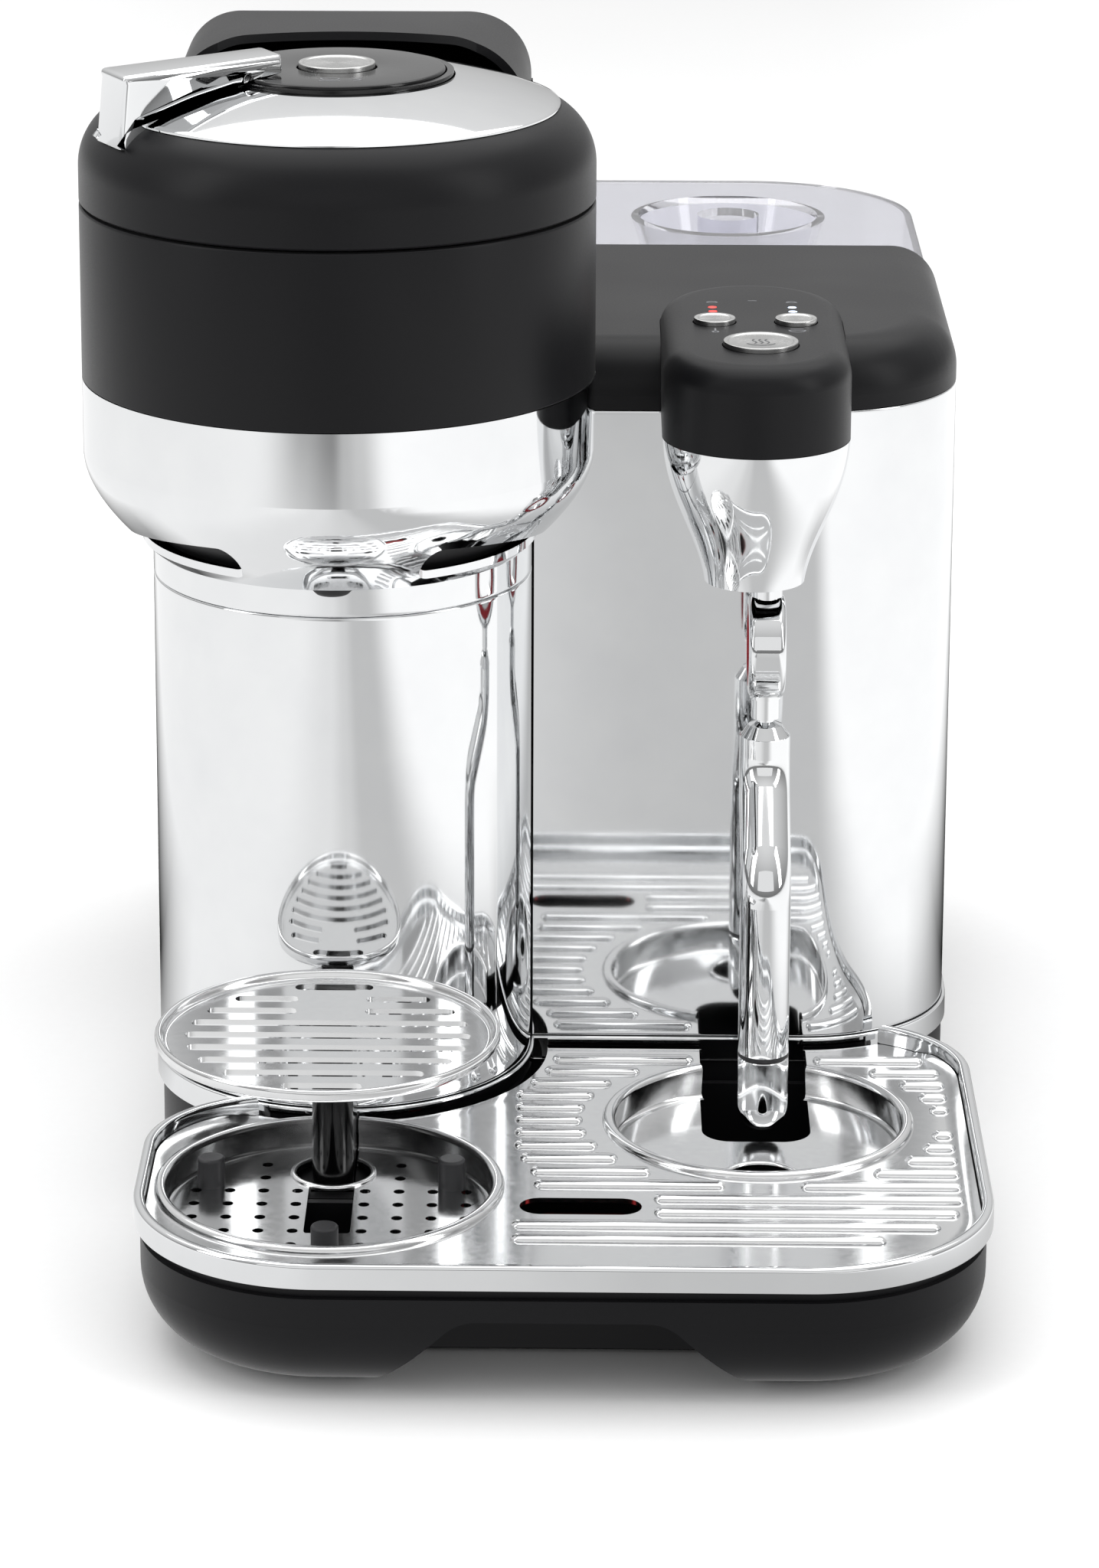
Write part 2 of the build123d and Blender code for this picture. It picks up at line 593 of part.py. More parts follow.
with BuildPart() as control_disc:
    with BuildSketch(HEAD_PLANE):
        with BuildLine():
            Polyline((10.7, DISC_Z + 0.1), (DISC_R, DISC_Z + 0.1), (DISC_R, DISC_TOP_Z - 0.6),
                     (DISC_R - 0.6, DISC_TOP_Z), (10.7, DISC_TOP_Z), close=True)
        make_face()
    revolve(axis=HEAD_AXIS)

brew_button = push_button(HEAD_X, HEAD_Y, DISC_TOP_Z + BUTTON_LIFT, 10.2)

with BuildPart() as lever_ring:
    # Rotating sleeve in the gap between the control disc and the dome.
    with BuildSketch(HEAD_PLANE):
        with BuildLine():
            Polyline((29.3, 296), (37, 296), (37, 299), (31.1, 299), (31.1, LEVER_RING_TOP_Z),
                     (29.3, LEVER_RING_TOP_Z), close=True)
        make_face()
    revolve(axis=HEAD_AXIS)

LEVER_PLANE = Plane(origin=(HEAD_X, HEAD_Y, 0),
                    x_dir=(-cos(radians(LEVER_ANGLE)), -sin(radians(LEVER_ANGLE)), 0),
                    z_dir=(-sin(radians(LEVER_ANGLE)), cos(radians(LEVER_ANGLE)), 0))

with BuildPart() as lever_blade:
    # Blade seen from its side: flat top, vertical outer face, underside over the dome.
    with BuildSketch(LEVER_PLANE):
        with BuildLine():
            gap_r = SHOULDER_R + 0.7
            tip_angle = 36.0
            tip = (centre_r + gap_r * cos(radians(tip_angle)), SHOULDER_Z + gap_r * sin(radians(tip_angle)))
            bend_angle = 56.0
            bend = (centre_r + gap_r * cos(radians(bend_angle)), SHOULDER_Z + gap_r * sin(radians(bend_angle)))
            CenterArc((centre_r, SHOULDER_Z), gap_r, tip_angle, bend_angle - tip_angle)
            Polyline(bend, (60.6, 308.7), (45.5, 313.5), (33, LEVER_RING_TOP_Z + 0.1),
                     (31.1, LEVER_RING_TOP_Z), (29.3, LEVER_RING_TOP_Z), (29.3, DISC_TOP_Z + 0.6),
                     (LEVER_INNER_R, DISC_TOP_Z + 0.6), (LEVER_INNER_R, LEVER_TOP_INNER_Z),
                     (LEVER_OUTER_R - 0.8, LEVER_TOP_OUTER_Z), tip)
        make_face()
    extrude(amount=LEVER_WIDTH / 2, both=True)
    fillet(lever_blade.edges().filter_by(Axis.Z).sort_by_distance((HEAD_X, HEAD_Y, 320))[:2], 6)

# ----------------------------------------------------------------------- body

with BuildPart() as body_shell:
    shell_height = BODY_TOP_Z - COLUMN_Z
    extrude(body_outline(0, COLUMN_Z), amount=shell_height)
    extrude(body_outline(SHEET, COLUMN_Z, BODY_LEFT - 5, BODY_BACK + 5), amount=shell_height,
            mode=Mode.SUBTRACT)
    add(tower_cut, mode=Mode.SUBTRACT)

with BuildPart() as body_back:
    extrude(slab(BODY_LEFT, BODY_RIGHT - SHEET - 0.1, BODY_BACK - 3, BODY_BACK, COLUMN_Z),
            amount=shell_height)


def cap_form(inset, bottom_z, top_z):
    """Solid cap over the body, rounded along its front and right edges."""
    with BuildPart() as form:
        outline = body_outline(inset, bottom_z, -1.4 + inset, BODY_BACK - inset)
        extrude(outline, amount=top_z - bottom_z)
        top_edges = form.faces().sort_by(Axis.Z)[-1].edges()
        round_edges = [edge for edge in top_edges
                       if edge.center().Y < BODY_BACK - inset - 1 and edge.center().X > 5]
        fillet(round_edges, CAP_EDGE_R - inset)
    return form.part


cap_outside = cap_form(0, POD_Z, CAP_TOP_Z)
cap_inside = cap_form(WALL, POD_Z - 4, CAP_TOP_Z - WALL)

with BuildPart() as body_cap:
    add(cap_outside)
    add(cap_inside, mode=Mode.SUBTRACT)
    add(tower_cut, mode=Mode.SUBTRACT)
    extrude(pod_outline(-0.1, POD_Z - 1), amount=40, mode=Mode.SUBTRACT)

with BuildPart() as water_pump:
    with BuildSketch(Plane.XY.offset(50)):
        with Locations((40, 40)):
            Circle(17)
    extrude(amount=60)
    extrude(slab(20, 60, 25, 55, 66), amount=26)
    with Locations((40, 40, 110)):
        Cylinder(6, 20, align=(Align.CENTER, Align.CENTER, Align.MIN))

with BuildPart() as steam_heater:
    extrude(slab(72, 104, 0, 60, 70), amount=90)
    fillet(steam_heater.edges().filter_by(Axis.Z), 6)
    with Locations((88, 15, 160), (88, 45, 160)):
        Cylinder(4, 14, align=(Align.CENTER, Align.CENTER, Align.MIN))

with BuildPart() as tank_seat:
    # Socket that opens the tank's valve when the tank is set down.
    extrude(slab(38, 78, 130, 170, CHASSIS_TOP_Z, (6, 6, 6, 6)), amount=1.8)
    extrude(disc(58, 150, 9, CHASSIS_TOP_Z), amount=1.8, mode=Mode.SUBTRACT)

# ------------------------------------------------------------------------ pod

START_BUTTON = (61.0, -60.6, 10.1)
TEMPERATURE_BUTTON = (49.2, -33.8, 5.7)
FROTH_BUTTON = (71.4, -33.8, 5.7)
RED_LAMPS = [(49, -16), (49, -21)]
WHITE_LAMPS = [(71, -16), (71, -21)]

with BuildPart() as pod_cap:
    extrude(pod_outline(0, POD_Z), amount=POD_TOP_Z - POD_Z)
    fillet(pod_cap.faces().sort_by(Axis.Z)[-1].edges(), 7)
    extrude(pod_outline(WALL, POD_Z), amount=POD_TOP_Z - POD_Z - WALL - 0.6, mode=Mode.SUBTRACT)
    for x, y, radius in (START_BUTTON, TEMPERATURE_BUTTON, FROTH_BUTTON):
        extrude(disc(x, y, radius + 0.35, POD_TOP_Z - 6), amount=8, mode=Mode.SUBTRACT)
    for x, y in RED_LAMPS + WHITE_LAMPS:
        extrude(disc(x, y, 1.3, POD_TOP_Z - 6), amount=8, mode=Mode.SUBTRACT)

start_button = push_button(START_BUTTON[0], START_BUTTON[1], POD_TOP_Z + BUTTON_LIFT, START_BUTTON[2])
temperature_button = push_button(TEMPERATURE_BUTTON[0], TEMPERATURE_BUTTON[1],
                                 POD_TOP_Z + BUTTON_LIFT, TEMPERATURE_BUTTON[2])
froth_button = push_button(FROTH_BUTTON[0], FROTH_BUTTON[1], POD_TOP_Z + BUTTON_LIFT, FROTH_BUTTON[2])

BOARD_Z = 224.0

with BuildPart() as lamps_red:
    with Locations(*[(x, y, BOARD_Z + 1.6) for x, y in RED_LAMPS]):
        Cylinder(1.2, POD_TOP_Z - BOARD_Z - 1.6, align=(Align.CENTER, Align.CENTER, Align.MIN))

with BuildPart() as lamps_white:
    with Locations(*[(x, y, BOARD_Z + 1.6) for x, y in WHITE_LAMPS]):
        Cylinder(1.2, POD_TOP_Z - BOARD_Z - 1.6, align=(Align.CENTER, Align.CENTER, Align.MIN))

with BuildPart() as pod_board:
    # Circuit board under the pod's top, with a switch below each button.
    extrude(slab(41, 79, -74, -10, BOARD_Z, (8, 8, 4, 4)), amount=1.6)
    for x, y, radius in (START_BUTTON, TEMPERATURE_BUTTON, FROTH_BUTTON):
        extrude(slab(x - 3, x + 3, y - 3, y + 3, BOARD_Z + 1.6), amount=2.6)


def bell_curve(inset):
    """Bell's outside in section, from the mouth up to the cap, moved in by a wall."""
    return [(BELL_MOUTH_R - inset, BELL_MOUTH_Z), (15.4 - inset, 191), (24.5 - inset, 201),
            (POD_R - inset, POD_Z - 0.2)]


with BuildPart() as pod_bell:
    with BuildSketch(POD_PLANE):
        with BuildLine():
            bell_outer = bell_curve(0)
            bell_inner = bell_curve(1.4)
            Bezier(*bell_outer)
            Line(bell_outer[3], bell_inner[3])
            Bezier(*bell_inner)
            Line(bell_inner[0], bell_outer[0])
        make_face()
    revolve(axis=POD_AXIS)

with BuildPart() as steam_socket:
    # Valve body inside the bell, above the wand's ball, with its arm back into the body.
    extrude(disc(WAND_X, WAND_Y, 9, 189.6), amount=POD_Z - 189.6 + 1)
    extrude(slab(POD_X - 7, POD_X + 7, POD_Y - 8, -6, POD_Z + 0.2), amount=4)
    extrude(disc(WAND_X, WAND_Y, 2.5, 186), amount=30, mode=Mode.SUBTRACT)

# ----------------------------------------------------------------------- wand

with BuildPart() as wand_ball:
    with Locations((WAND_X, WAND_Y, WAND_Z)):
        Sphere(7)
    extrude(disc(WAND_X, WAND_Y, 4.2, HOOP_Z + HOOP_R - 0.6), amount=WAND_Z - HOOP_Z - HOOP_R)

INSERT_R, INSERT_DEPTH = 11.2, 1.6
HOOP_HALF = 5.0

with BuildPart() as wand_hoop:
    # Finger grip: a thick ring that faces sideways, with a boss below for the union nut.
    hoop_plane = Plane(origin=(WAND_X, WAND_Y, HOOP_Z), x_dir=(0, 1, 0), z_dir=(1, 0, 0))
    with BuildSketch(hoop_plane):
        Circle(HOOP_R)
    extrude(amount=HOOP_HALF, both=True)
    fillet(wand_hoop.edges().filter_by(GeomType.CIRCLE), 2)
    extrude(disc(WAND_X, WAND_Y, 4.2, 144.6), amount=6)
    with BuildSketch(hoop_plane.offset(-HOOP_HALF)):
        Circle(INSERT_R)
    extrude(amount=INSERT_DEPTH, mode=Mode.SUBTRACT)
    with BuildSketch(hoop_plane.offset(-2 * HOOP_HALF)):
        Circle(HOOP_BORE_R)
    extrude(amount=4 * HOOP_HALF, mode=Mode.SUBTRACT)
    add(wand_ball.part, mode=Mode.SUBTRACT)

with BuildPart() as hoop_insert:
    with BuildSketch(hoop_plane.offset(-HOOP_HALF)):
        Circle(INSERT_R - 0.05)
        Circle(HOOP_BORE_R, mode=Mode.SUBTRACT)
    extrude(amount=INSERT_DEPTH)

TUBE_TOP_Z = 134.0
TIP_TOP_Z = 50.0

with BuildPart() as wand_tube:
    with BuildLine(Plane(origin=(WAND_X, 0, 0), x_dir=(0, 1, 0), z_dir=(1, 0, 0))) as wand_path:
        FilletPolyline((WAND_Y, TUBE_TOP_Z), (WAND_Y, 122), (WAND_FRONT_Y, 100),
                       (WAND_FRONT_Y, TIP_TOP_Z), radius=16)
    with BuildSketch(Plane(origin=(WAND_X, WAND_Y, TUBE_TOP_Z), z_dir=(0, 0, -1))):
        Circle(WAND_R)
        Circle(WAND_R - 3, mode=Mode.SUBTRACT)
    sweep()
    # Union nut and the narrow pipe above the insulated tube.
    with BuildSketch(WAND_PLANE):
        with BuildLine():
            Polyline((1.5, TUBE_TOP_Z - 2), (6.6, TUBE_TOP_Z - 2), (6.6, TUBE_TOP_Z), (4.6, 137),
                     (2.4, 138), (2.4, 139), (3.8, 139), (3.8, 144.5), (1.5, 144.5), close=True)
        make_face()
    revolve(axis=WAND_AXIS)

with BuildPart() as wand_tip:
    tip_plane = Plane(origin=(WAND_X, WAND_FRONT_Y, 0), x_dir=(1, 0, 0), z_dir=(0, -1, 0))
    with BuildSketch(tip_plane):
        with BuildLine():
            Polyline((0.8, 29), (0.8, TIP_TOP_Z - 0.1), (WAND_R, TIP_TOP_Z - 0.1), (WAND_R, 34))
            ThreePointArc((WAND_R, 34), (5.1, 30), (0.8, 28.3))
            Line((0.8, 28.3), (0.8, 29))
        make_face()
    revolve(axis=Axis((WAND_X, WAND_FRONT_Y, 0), (0, 0, 1)))

# ----------------------------------------------------------------------- tray

ARCH_X = 9.35
ARCH_TOP_Z = 23.0
ARCH_TOP_HALF, ARCH_FOOT_HALF = 26.5, 51.3
ARCH_BACK_Y = -173.0
NOTCH_HALF = 10.2
NOTCH_FRONT = -133.0
MILK_NOTCH_HALF = 14.9
MILK_NOTCH_FRONT = -92.0


def post_notch(grow, z):
    """Slot in the tray that straddles the cup support's socket, open to the back."""
    half = NOTCH_HALF + grow
    return slab(COLUMN_X - half, COLUMN_X + half, NOTCH_FRONT - grow, -60, z)


def wand_notch(grow, z):
    """Slot in the tray behind the wand's tip, open to the back."""
    half = MILK_NOTCH_HALF + grow
    return slab(MILK_X - half, MILK_X + half, MILK_NOTCH_FRONT - grow, -20, z, (8, 8, 0, 0))


def tray_form(inset, bottom_z, edge_r, top_z):
    """Tray's solid form: its plan, with the lower edge curving under."""
    with BuildPart() as form:
        radii = (TRAY_CORNER_R - inset, TRAY_CORNER_R - inset, 0, 0)
        extrude(slab(TRAY_LEFT + inset, TRAY_RIGHT - inset, TRAY_FRONT + inset, 60, bottom_z, radii),
                amount=top_z - bottom_z)
        low_edges = form.faces().sort_by(Axis.Z)[0].edges()
        fillet([edge for edge in low_edges if edge.center().Y < 55], edge_r)
        extrude(tray_outline(inset, bottom_z), amount=top_z - bottom_z, mode=Mode.INTERSECT)
    return form.part


def arch_form(grow):
    """Finger arch in the front of the tray, by which it is pulled out."""
    with BuildPart() as form:
        with BuildSketch(Plane.XZ.offset(-TRAY_FRONT + 1)) as front:
            with BuildLine():
                Polyline((ARCH_X - ARCH_FOOT_HALF - grow, -1), (ARCH_X + ARCH_FOOT_HALF + grow, -1),
                         (ARCH_X + ARCH_TOP_HALF + grow, ARCH_TOP_Z + grow),
                         (ARCH_X - ARCH_TOP_HALF - grow, ARCH_TOP_Z + grow), close=True)
            make_face()
            fillet(front.vertices().group_by(Axis.Y)[-1], 12)
        extrude(amount=TRAY_FRONT - ARCH_BACK_Y - 1 - grow)
    return form.part


tray_inset = 1.7
wall_inset = tray_inset + WALL
tray_outside = tray_form(tray_inset, TRAY_Z, 20, TRAY_RIM_Z)
tray_inside = tray_form(wall_inset, TRAY_Z + WALL, 20 - WALL, TRIM_Z + 1)
arch_outside = arch_form(0)
arch_inside = arch_form(WALL)

with BuildPart() as water_space:
    add(tray_inside)
    add(arch_inside, mode=Mode.SUBTRACT)
    extrude(post_notch(WALL, 0), amount=CUP_FLOOR_Z - 1.8, mode=Mode.SUBTRACT)

with BuildPart() as tray_base:
    add(tray_outside)
    extrude(tray_outline(tray_inset + 1.5, TRAY_RIM_Z), amount=TRIM_Z - TRAY_RIM_Z - 0.1)
    add(arch_outside, mode=Mode.SUBTRACT)
    add(water_space.part, mode=Mode.SUBTRACT)
    extrude(post_notch(0, 0), amount=40, mode=Mode.SUBTRACT)
    extrude(wand_notch(0, MILK_FLOOR_Z - 2), amount=20, mode=Mode.SUBTRACT)

def rear_zone(width, z):
    """Strip of the tray, of a given width, along the coves and the straight back edge."""
    with BuildSketch(Plane.XY.offset(z)) as zone:
        with Locations((COLUMN_X, COLUMN_Y)):
            Circle(COVE_R + width)
        with Locations((BODY_CORNER_X, BODY_CORNER_Y)):
            Circle(BODY_CORNER_Y - TRAY_BACK + width)
        with Locations(((COLUMN_X + BODY_CORNER_X) / 2, TRAY_BACK)):
            Rectangle(BODY_CORNER_X - COLUMN_X, 2 * width)
    return zone.sketch


with BuildPart() as tray_trim:
    # Bright rail along the front and the sides; it ends where the tray meets column and body.
    extrude(tray_outline(0, TRIM_Z), amount=TRIM_TOP_Z - TRIM_Z)
    extrude(tray_outline(TRIM_T, TRIM_Z), amount=TRIM_TOP_Z - TRIM_Z, mode=Mode.SUBTRACT)
    extrude(rear_zone(TRIM_T, TRIM_Z), amount=TRIM_TOP_Z - TRIM_Z, mode=Mode.SUBTRACT)

COVER_INSET = TRIM_T + 0.1
SHEET_T = COVER_TOP_Z - COVER_Z

# Perforations stand in rows; each row is centred on the cup and spans a number of columns.
HOLE_PITCH = 9.0
HOLE_ROWS = [(-113.6, (-2, 2)), (-122.6, (-2, 2)), (-131.6, (-4, -3, -2, -1, 1, 2, 3, 4)),
             (-140.6, range(-4, 5)), (-149.6, range(-4, 5)), (-158.6, range(-3, 4)),
             (-167.6, range(-2, 3))]


def recess(x, y, radius, floor_z, grow):
    """Dished recess below the cover: a cone frustum from the lip down to the floor."""
    with BuildPart() as form:
        with BuildSketch(Plane(origin=(x, y, 0), x_dir=(1, 0, 0), z_dir=(0, -1, 0))):
            with BuildLine():
                Polyline((0, floor_z - grow), (radius - 1 + grow, floor_z - grow),
                         (radius + 2.5 + grow, COVER_TOP_Z + 0.01), (0, COVER_TOP_Z + 0.01), close=True)
            make_face()
        revolve(axis=Axis((x, y, 0), (0, 0, 1)))
    return form.part


def rib_row(y):
    """Stretches of one row of ribs: clear of both recesses, the column and the front slot."""
    half = 2.3
    left = -4.0
    right = TRAY_RIGHT - 6.7
    for centre_y, centre_x, radius in ((COLUMN_Y, COLUMN_X, COVE_R + 3), (CUP_Y, COLUMN_X, 51.5)):
        across = abs(y - centre_y)
        if across < radius:
            left = max(left, centre_x + sqrt(radius ** 2 - across ** 2) + half)
    front_bend = -150.0 - y
    if front_bend > 0:
        right = right - 30 + sqrt(30 ** 2 - front_bend ** 2)
    rear_bend = y - TRAY_REAR_RIGHT_Y
    if rear_bend > 0:
        rear_r = TRAY_REAR_R - 6.7
        right = right - rear_r + sqrt(rear_r ** 2 - rear_bend ** 2)
    if y < FLOAT_WINDOW_Y + 8 and y > FLOAT_WINDOW_Y - 8:
        left = FLOAT_WINDOW_X + 19
    across = abs(y - MILK_Y)
    if across >= MILK_RECESS_R + 8.5:
        return [(left, right)]
    reach = sqrt((MILK_RECESS_R + 8.5) ** 2 - across ** 2)
    stretches = [(left, MILK_X - reach), (MILK_X + reach, right)]
    return [stretch for stretch in stretches if stretch[1] - stretch[0] > RIB_WIDTH + 1]


FLOAT_WINDOW_X, FLOAT_WINDOW_Y = 14.0, -157.0

with BuildPart() as drip_cover:
    extrude(tray_outline(0.3, COVER_Z), amount=SHEET_T)
    extrude(rear_zone(TRIM_T - 0.1, COVER_Z), amount=SHEET_T, mode=Mode.INTERSECT)
    extrude(tray_outline(COVER_INSET, COVER_Z), amount=SHEET_T)
    for x, y, radius, floor_z in ((COLUMN_X, CUP_Y, CUP_RECESS_R, CUP_FLOOR_Z),
                                  (MILK_X, MILK_Y, MILK_RECESS_R, MILK_FLOOR_Z)):
        add(recess(x, y, radius, floor_z, SHEET_T))
        add(recess(x, y, radius, floor_z, 0), mode=Mode.SUBTRACT)
    # Keyhole round the post, notch behind the wand, drain hole and float window.
    with BuildSketch(Plane.XY.offset(20)):
        with Locations((COLUMN_X, -119)):
            Circle(10)
        with Locations((COLUMN_X, -100)):
            Rectangle(12.2, 38)
        with Locations((62.5, -118)):
            Circle(9.5)
        with Locations((FLOAT_WINDOW_X, FLOAT_WINDOW_Y)):
            SlotOverall(32, 11)
        for y, columns in HOLE_ROWS:
            with Locations(*[(COLUMN_X + HOLE_PITCH * column, y) for column in columns]):
                Circle(1.5)
    extrude(amount=20, mode=Mode.SUBTRACT)
    extrude(wand_notch(0, 20), amount=20, mode=Mode.SUBTRACT)
    for row in range(15):
        y = -51.5 - RIB_PITCH * row
        for start, end in rib_row(y):
            with BuildSketch(Plane.XY.offset(COVER_TOP_Z)):
                with Locations(((start + end) / 2, y)):
                    SlotOverall(end - start, RIB_WIDTH)
            extrude(amount=RIB_HEIGHT)

PAD_SPOTS = [(-84.5, -127.7), (-20.4, -127.7), (-52.1, -173.4)]

with BuildPart() as cover_pads:
    # Rubber pads that carry a tall glass above the perforated floor.
    with Locations(*[(x, y, CUP_FLOOR_Z) for x, y in PAD_SPOTS]):
        Cylinder(3.6, 8, align=(Align.CENTER, Align.CENTER, Align.MIN))
    fillet(cover_pads.edges().group_by(Axis.Z)[-1], 0.8)

with BuildPart() as tray_float:
    # Box float that rises through the window when the tray is full.
    extrude(slab(0.5, 27.5, -160.8, -153.2, 20, (3, 3, 3, 3)), amount=4.5)
    extrude(slab(2, 28, -160, -126, 13, (4, 4, 4, 4)), amount=6)
    extrude(slab(8, 24, -160, -154, 18), amount=3)

# ---------------------------------------------------------------- cup support

with BuildPart() as post_socket:
    # Bracket of the chassis that reaches under the tray and holds the post's plug.
    extrude(slab(COLUMN_X - 9.7, COLUMN_X + 9.7, -131.8, -90, CHASSIS_Z, (3, 3, 0, 0)), amount=21)
    extrude(slab(COLUMN_X - 5.8, COLUMN_X + 5.8, POST_FRONT - 0.4, POST_BACK + 0.4, 13), amount=20,
            mode=Mode.SUBTRACT)
    extrude(column_outline(CHASSIS_R, 0, CHASSIS_Z - 1), amount=40, mode=Mode.SUBTRACT)

with BuildPart() as cup_post:
    half = POST_WIDTH / 2
    extrude(slab(COLUMN_X - half, COLUMN_X + half, POST_FRONT, POST_BACK, 13.2, (5.4, 5.4, 1, 1)),
            amount=DISC_SUPPORT_Z - 13.2)

with BuildPart() as cup_disc:
    # Pressed disc with a rolled rim and drain slots.
    with BuildSketch(Plane(origin=(COLUMN_X, CUP_Y, 0), x_dir=(1, 0, 0), z_dir=(0, -1, 0))):
        with BuildLine():
            rim = DISC_SUPPORT_R
            Polyline((0, DISC_SUPPORT_Z), (rim - 3, DISC_SUPPORT_Z), (rim, DISC_SUPPORT_Z + 1.6),
                     (rim, DISC_SUPPORT_TOP_Z), (rim - 1.8, DISC_SUPPORT_TOP_Z),
                     (rim - 4, DISC_SUPPORT_Z + 1.4), (0, DISC_SUPPORT_Z + 1.4), close=True)
        make_face()
    revolve(axis=Axis((COLUMN_X, CUP_Y, 0), (0, 0, 1)))
    with BuildSketch(Plane.XY.offset(DISC_SUPPORT_Z)):
        for row in range(-4, 5):
            across = 9.0 * row
            half_length = sqrt(37.5 ** 2 - across ** 2)
            gap_half = 9.0
            if 14 < across < 30:
                spots = [(COLUMN_X - (half_length + gap_half) / 2, CUP_Y + across),
                         (COLUMN_X + (half_length + gap_half) / 2, CUP_Y + across)]
                with Locations(*spots):
                    SlotOverall(half_length - gap_half, 4.5)
            else:
                with Locations((COLUMN_X, CUP_Y + across)):
                    SlotOverall(2 * half_length, 4.5)
    extrude(amount=3, mode=Mode.SUBTRACT)

# ------------------------------------------------------- tank and container

with BuildPart() as tank_shell:
    extrude(tank_outline(0, TANK_Z), amount=TANK_TOP_Z - TANK_Z)
    fillet(tank_shell.faces().sort_by(Axis.Z)[0].edges(), 1.8)
    extrude(tank_outline(WALL, TANK_Z + WALL), amount=TANK_TOP_Z - TANK_Z, mode=Mode.SUBTRACT)

with BuildPart() as tank_lid:
    # Lid with a round cup in its middle and a knob to lift it by.
    extrude(tank_outline(0, TANK_TOP_Z + 0.1), amount=2.9)
    fillet(tank_lid.faces().sort_by(Axis.Z)[-1].edges(), 1.2)
    with BuildSketch(Plane(origin=(LID_CUP_X, LID_CUP_Y, 0), x_dir=(1, 0, 0), z_dir=(0, -1, 0))):
        with BuildLine():
            cup_floor = 216.0
            Polyline((0, cup_floor), (LID_CUP_R - 4, cup_floor), (LID_CUP_R, TANK_TOP_Z + 0.2),
                     (0, TANK_TOP_Z + 0.2), close=True)
        make_face()
    revolve(axis=Axis((LID_CUP_X, LID_CUP_Y, 0), (0, 0, 1)))
    with BuildSketch(Plane(origin=(LID_CUP_X, LID_CUP_Y, 0), x_dir=(1, 0, 0), z_dir=(0, -1, 0))):
        with BuildLine():
            Polyline((9.5, cup_floor + 2), (LID_CUP_R - 6, cup_floor + 2), (LID_CUP_R - 2, 232),
                     (9.5, 232), close=True)
        make_face()
    revolve(axis=Axis((LID_CUP_X, LID_CUP_Y, 0), (0, 0, 1)), mode=Mode.SUBTRACT)

with BuildPart() as capsule_container:
    radii = (4, 4, 12, 40)
    extrude(slab(BIN_LEFT, BIN_RIGHT, BIN_FRONT, BIN_BACK, TANK_Z, radii), amount=TANK_TOP_Z - TANK_Z)
    extrude(slab(BIN_LEFT + WALL, BIN_RIGHT - WALL, BIN_FRONT + WALL, BIN_BACK - WALL, TANK_Z + WALL,
                 (2, 2, 12 - WALL, 40 - WALL)), amount=TANK_TOP_Z - TANK_Z, mode=Mode.SUBTRACT)

# --------------------------------------------------------------------- export

SUB_PARTS = {
    "base_chassis": base_chassis, "base_plate": base_plate, "rubber_feet": rubber_feet,
    "base_screws": base_screws, "foot_ring": foot_ring, "cord_gland": cord_gland,
    "control_board": control_board, "column_shell": column_shell, "neck_collar": neck_collar,
    "thermoblock": thermoblock, "bowl": bowl, "bowl_liner": bowl_liner, "head_band": head_band,
    "brew_deck": brew_deck, "coffee_spout": coffee_spout, "spin_motor": spin_motor,
    "rotor_shaft": rotor_shaft, "capsule_holder": capsule_holder, "rear_tower": rear_tower,
    "hinge_pin": hinge_pin, "hinge_cover": hinge_cover, "lid_shell": lid_shell,
    "lid_dome": lid_dome, "lid_liner": lid_liner, "brew_head": brew_head,
    "control_disc": control_disc, "brew_button": brew_button, "lever_ring": lever_ring,
    "lever_blade": lever_blade, "body_shell": body_shell, "body_back": body_back,
    "body_cap": body_cap, "water_pump": water_pump, "steam_heater": steam_heater,
    "tank_seat": tank_seat, "pod_cap": pod_cap, "start_button": start_button,
    "temperature_button": temperature_button, "froth_button": froth_button,
    "lamps_red": lamps_red, "lamps_white": lamps_white, "pod_board": pod_board,
    "pod_bell": pod_bell, "steam_socket": steam_socket, "wand_ball": wand_ball,
    "wand_hoop": wand_hoop, "hoop_insert": hoop_insert, "wand_tube": wand_tube,
    "wand_tip": wand_tip, "tray_base": tray_base, "tray_trim": tray_trim,
    "drip_cover": drip_cover, "cover_pads": cover_pads, "tray_float": tray_float,
    "post_socket": post_socket, "cup_post": cup_post, "cup_disc": cup_disc,
    "tank_shell": tank_shell, "tank_lid": tank_lid, "capsule_container": capsule_container,
}

for name, builder in SUB_PARTS.items():
    builder.part.label = name
    export_step(builder.part, f"parts/{name}.step")
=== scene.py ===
# %% [markdown]
# # Pod coffee machine
# The machine is a metal appliance: mirror-bright sheet round a column and a body, matt black covers on top,
# and a sliding tray in front. The CAD model gives every part's size and place, and this file gives the
# looks: it loads the CAD as a frame, replaces the shiny and pressed parts with finer surfaces, and paints
# each one.

# %% Load the frame
import json
import math

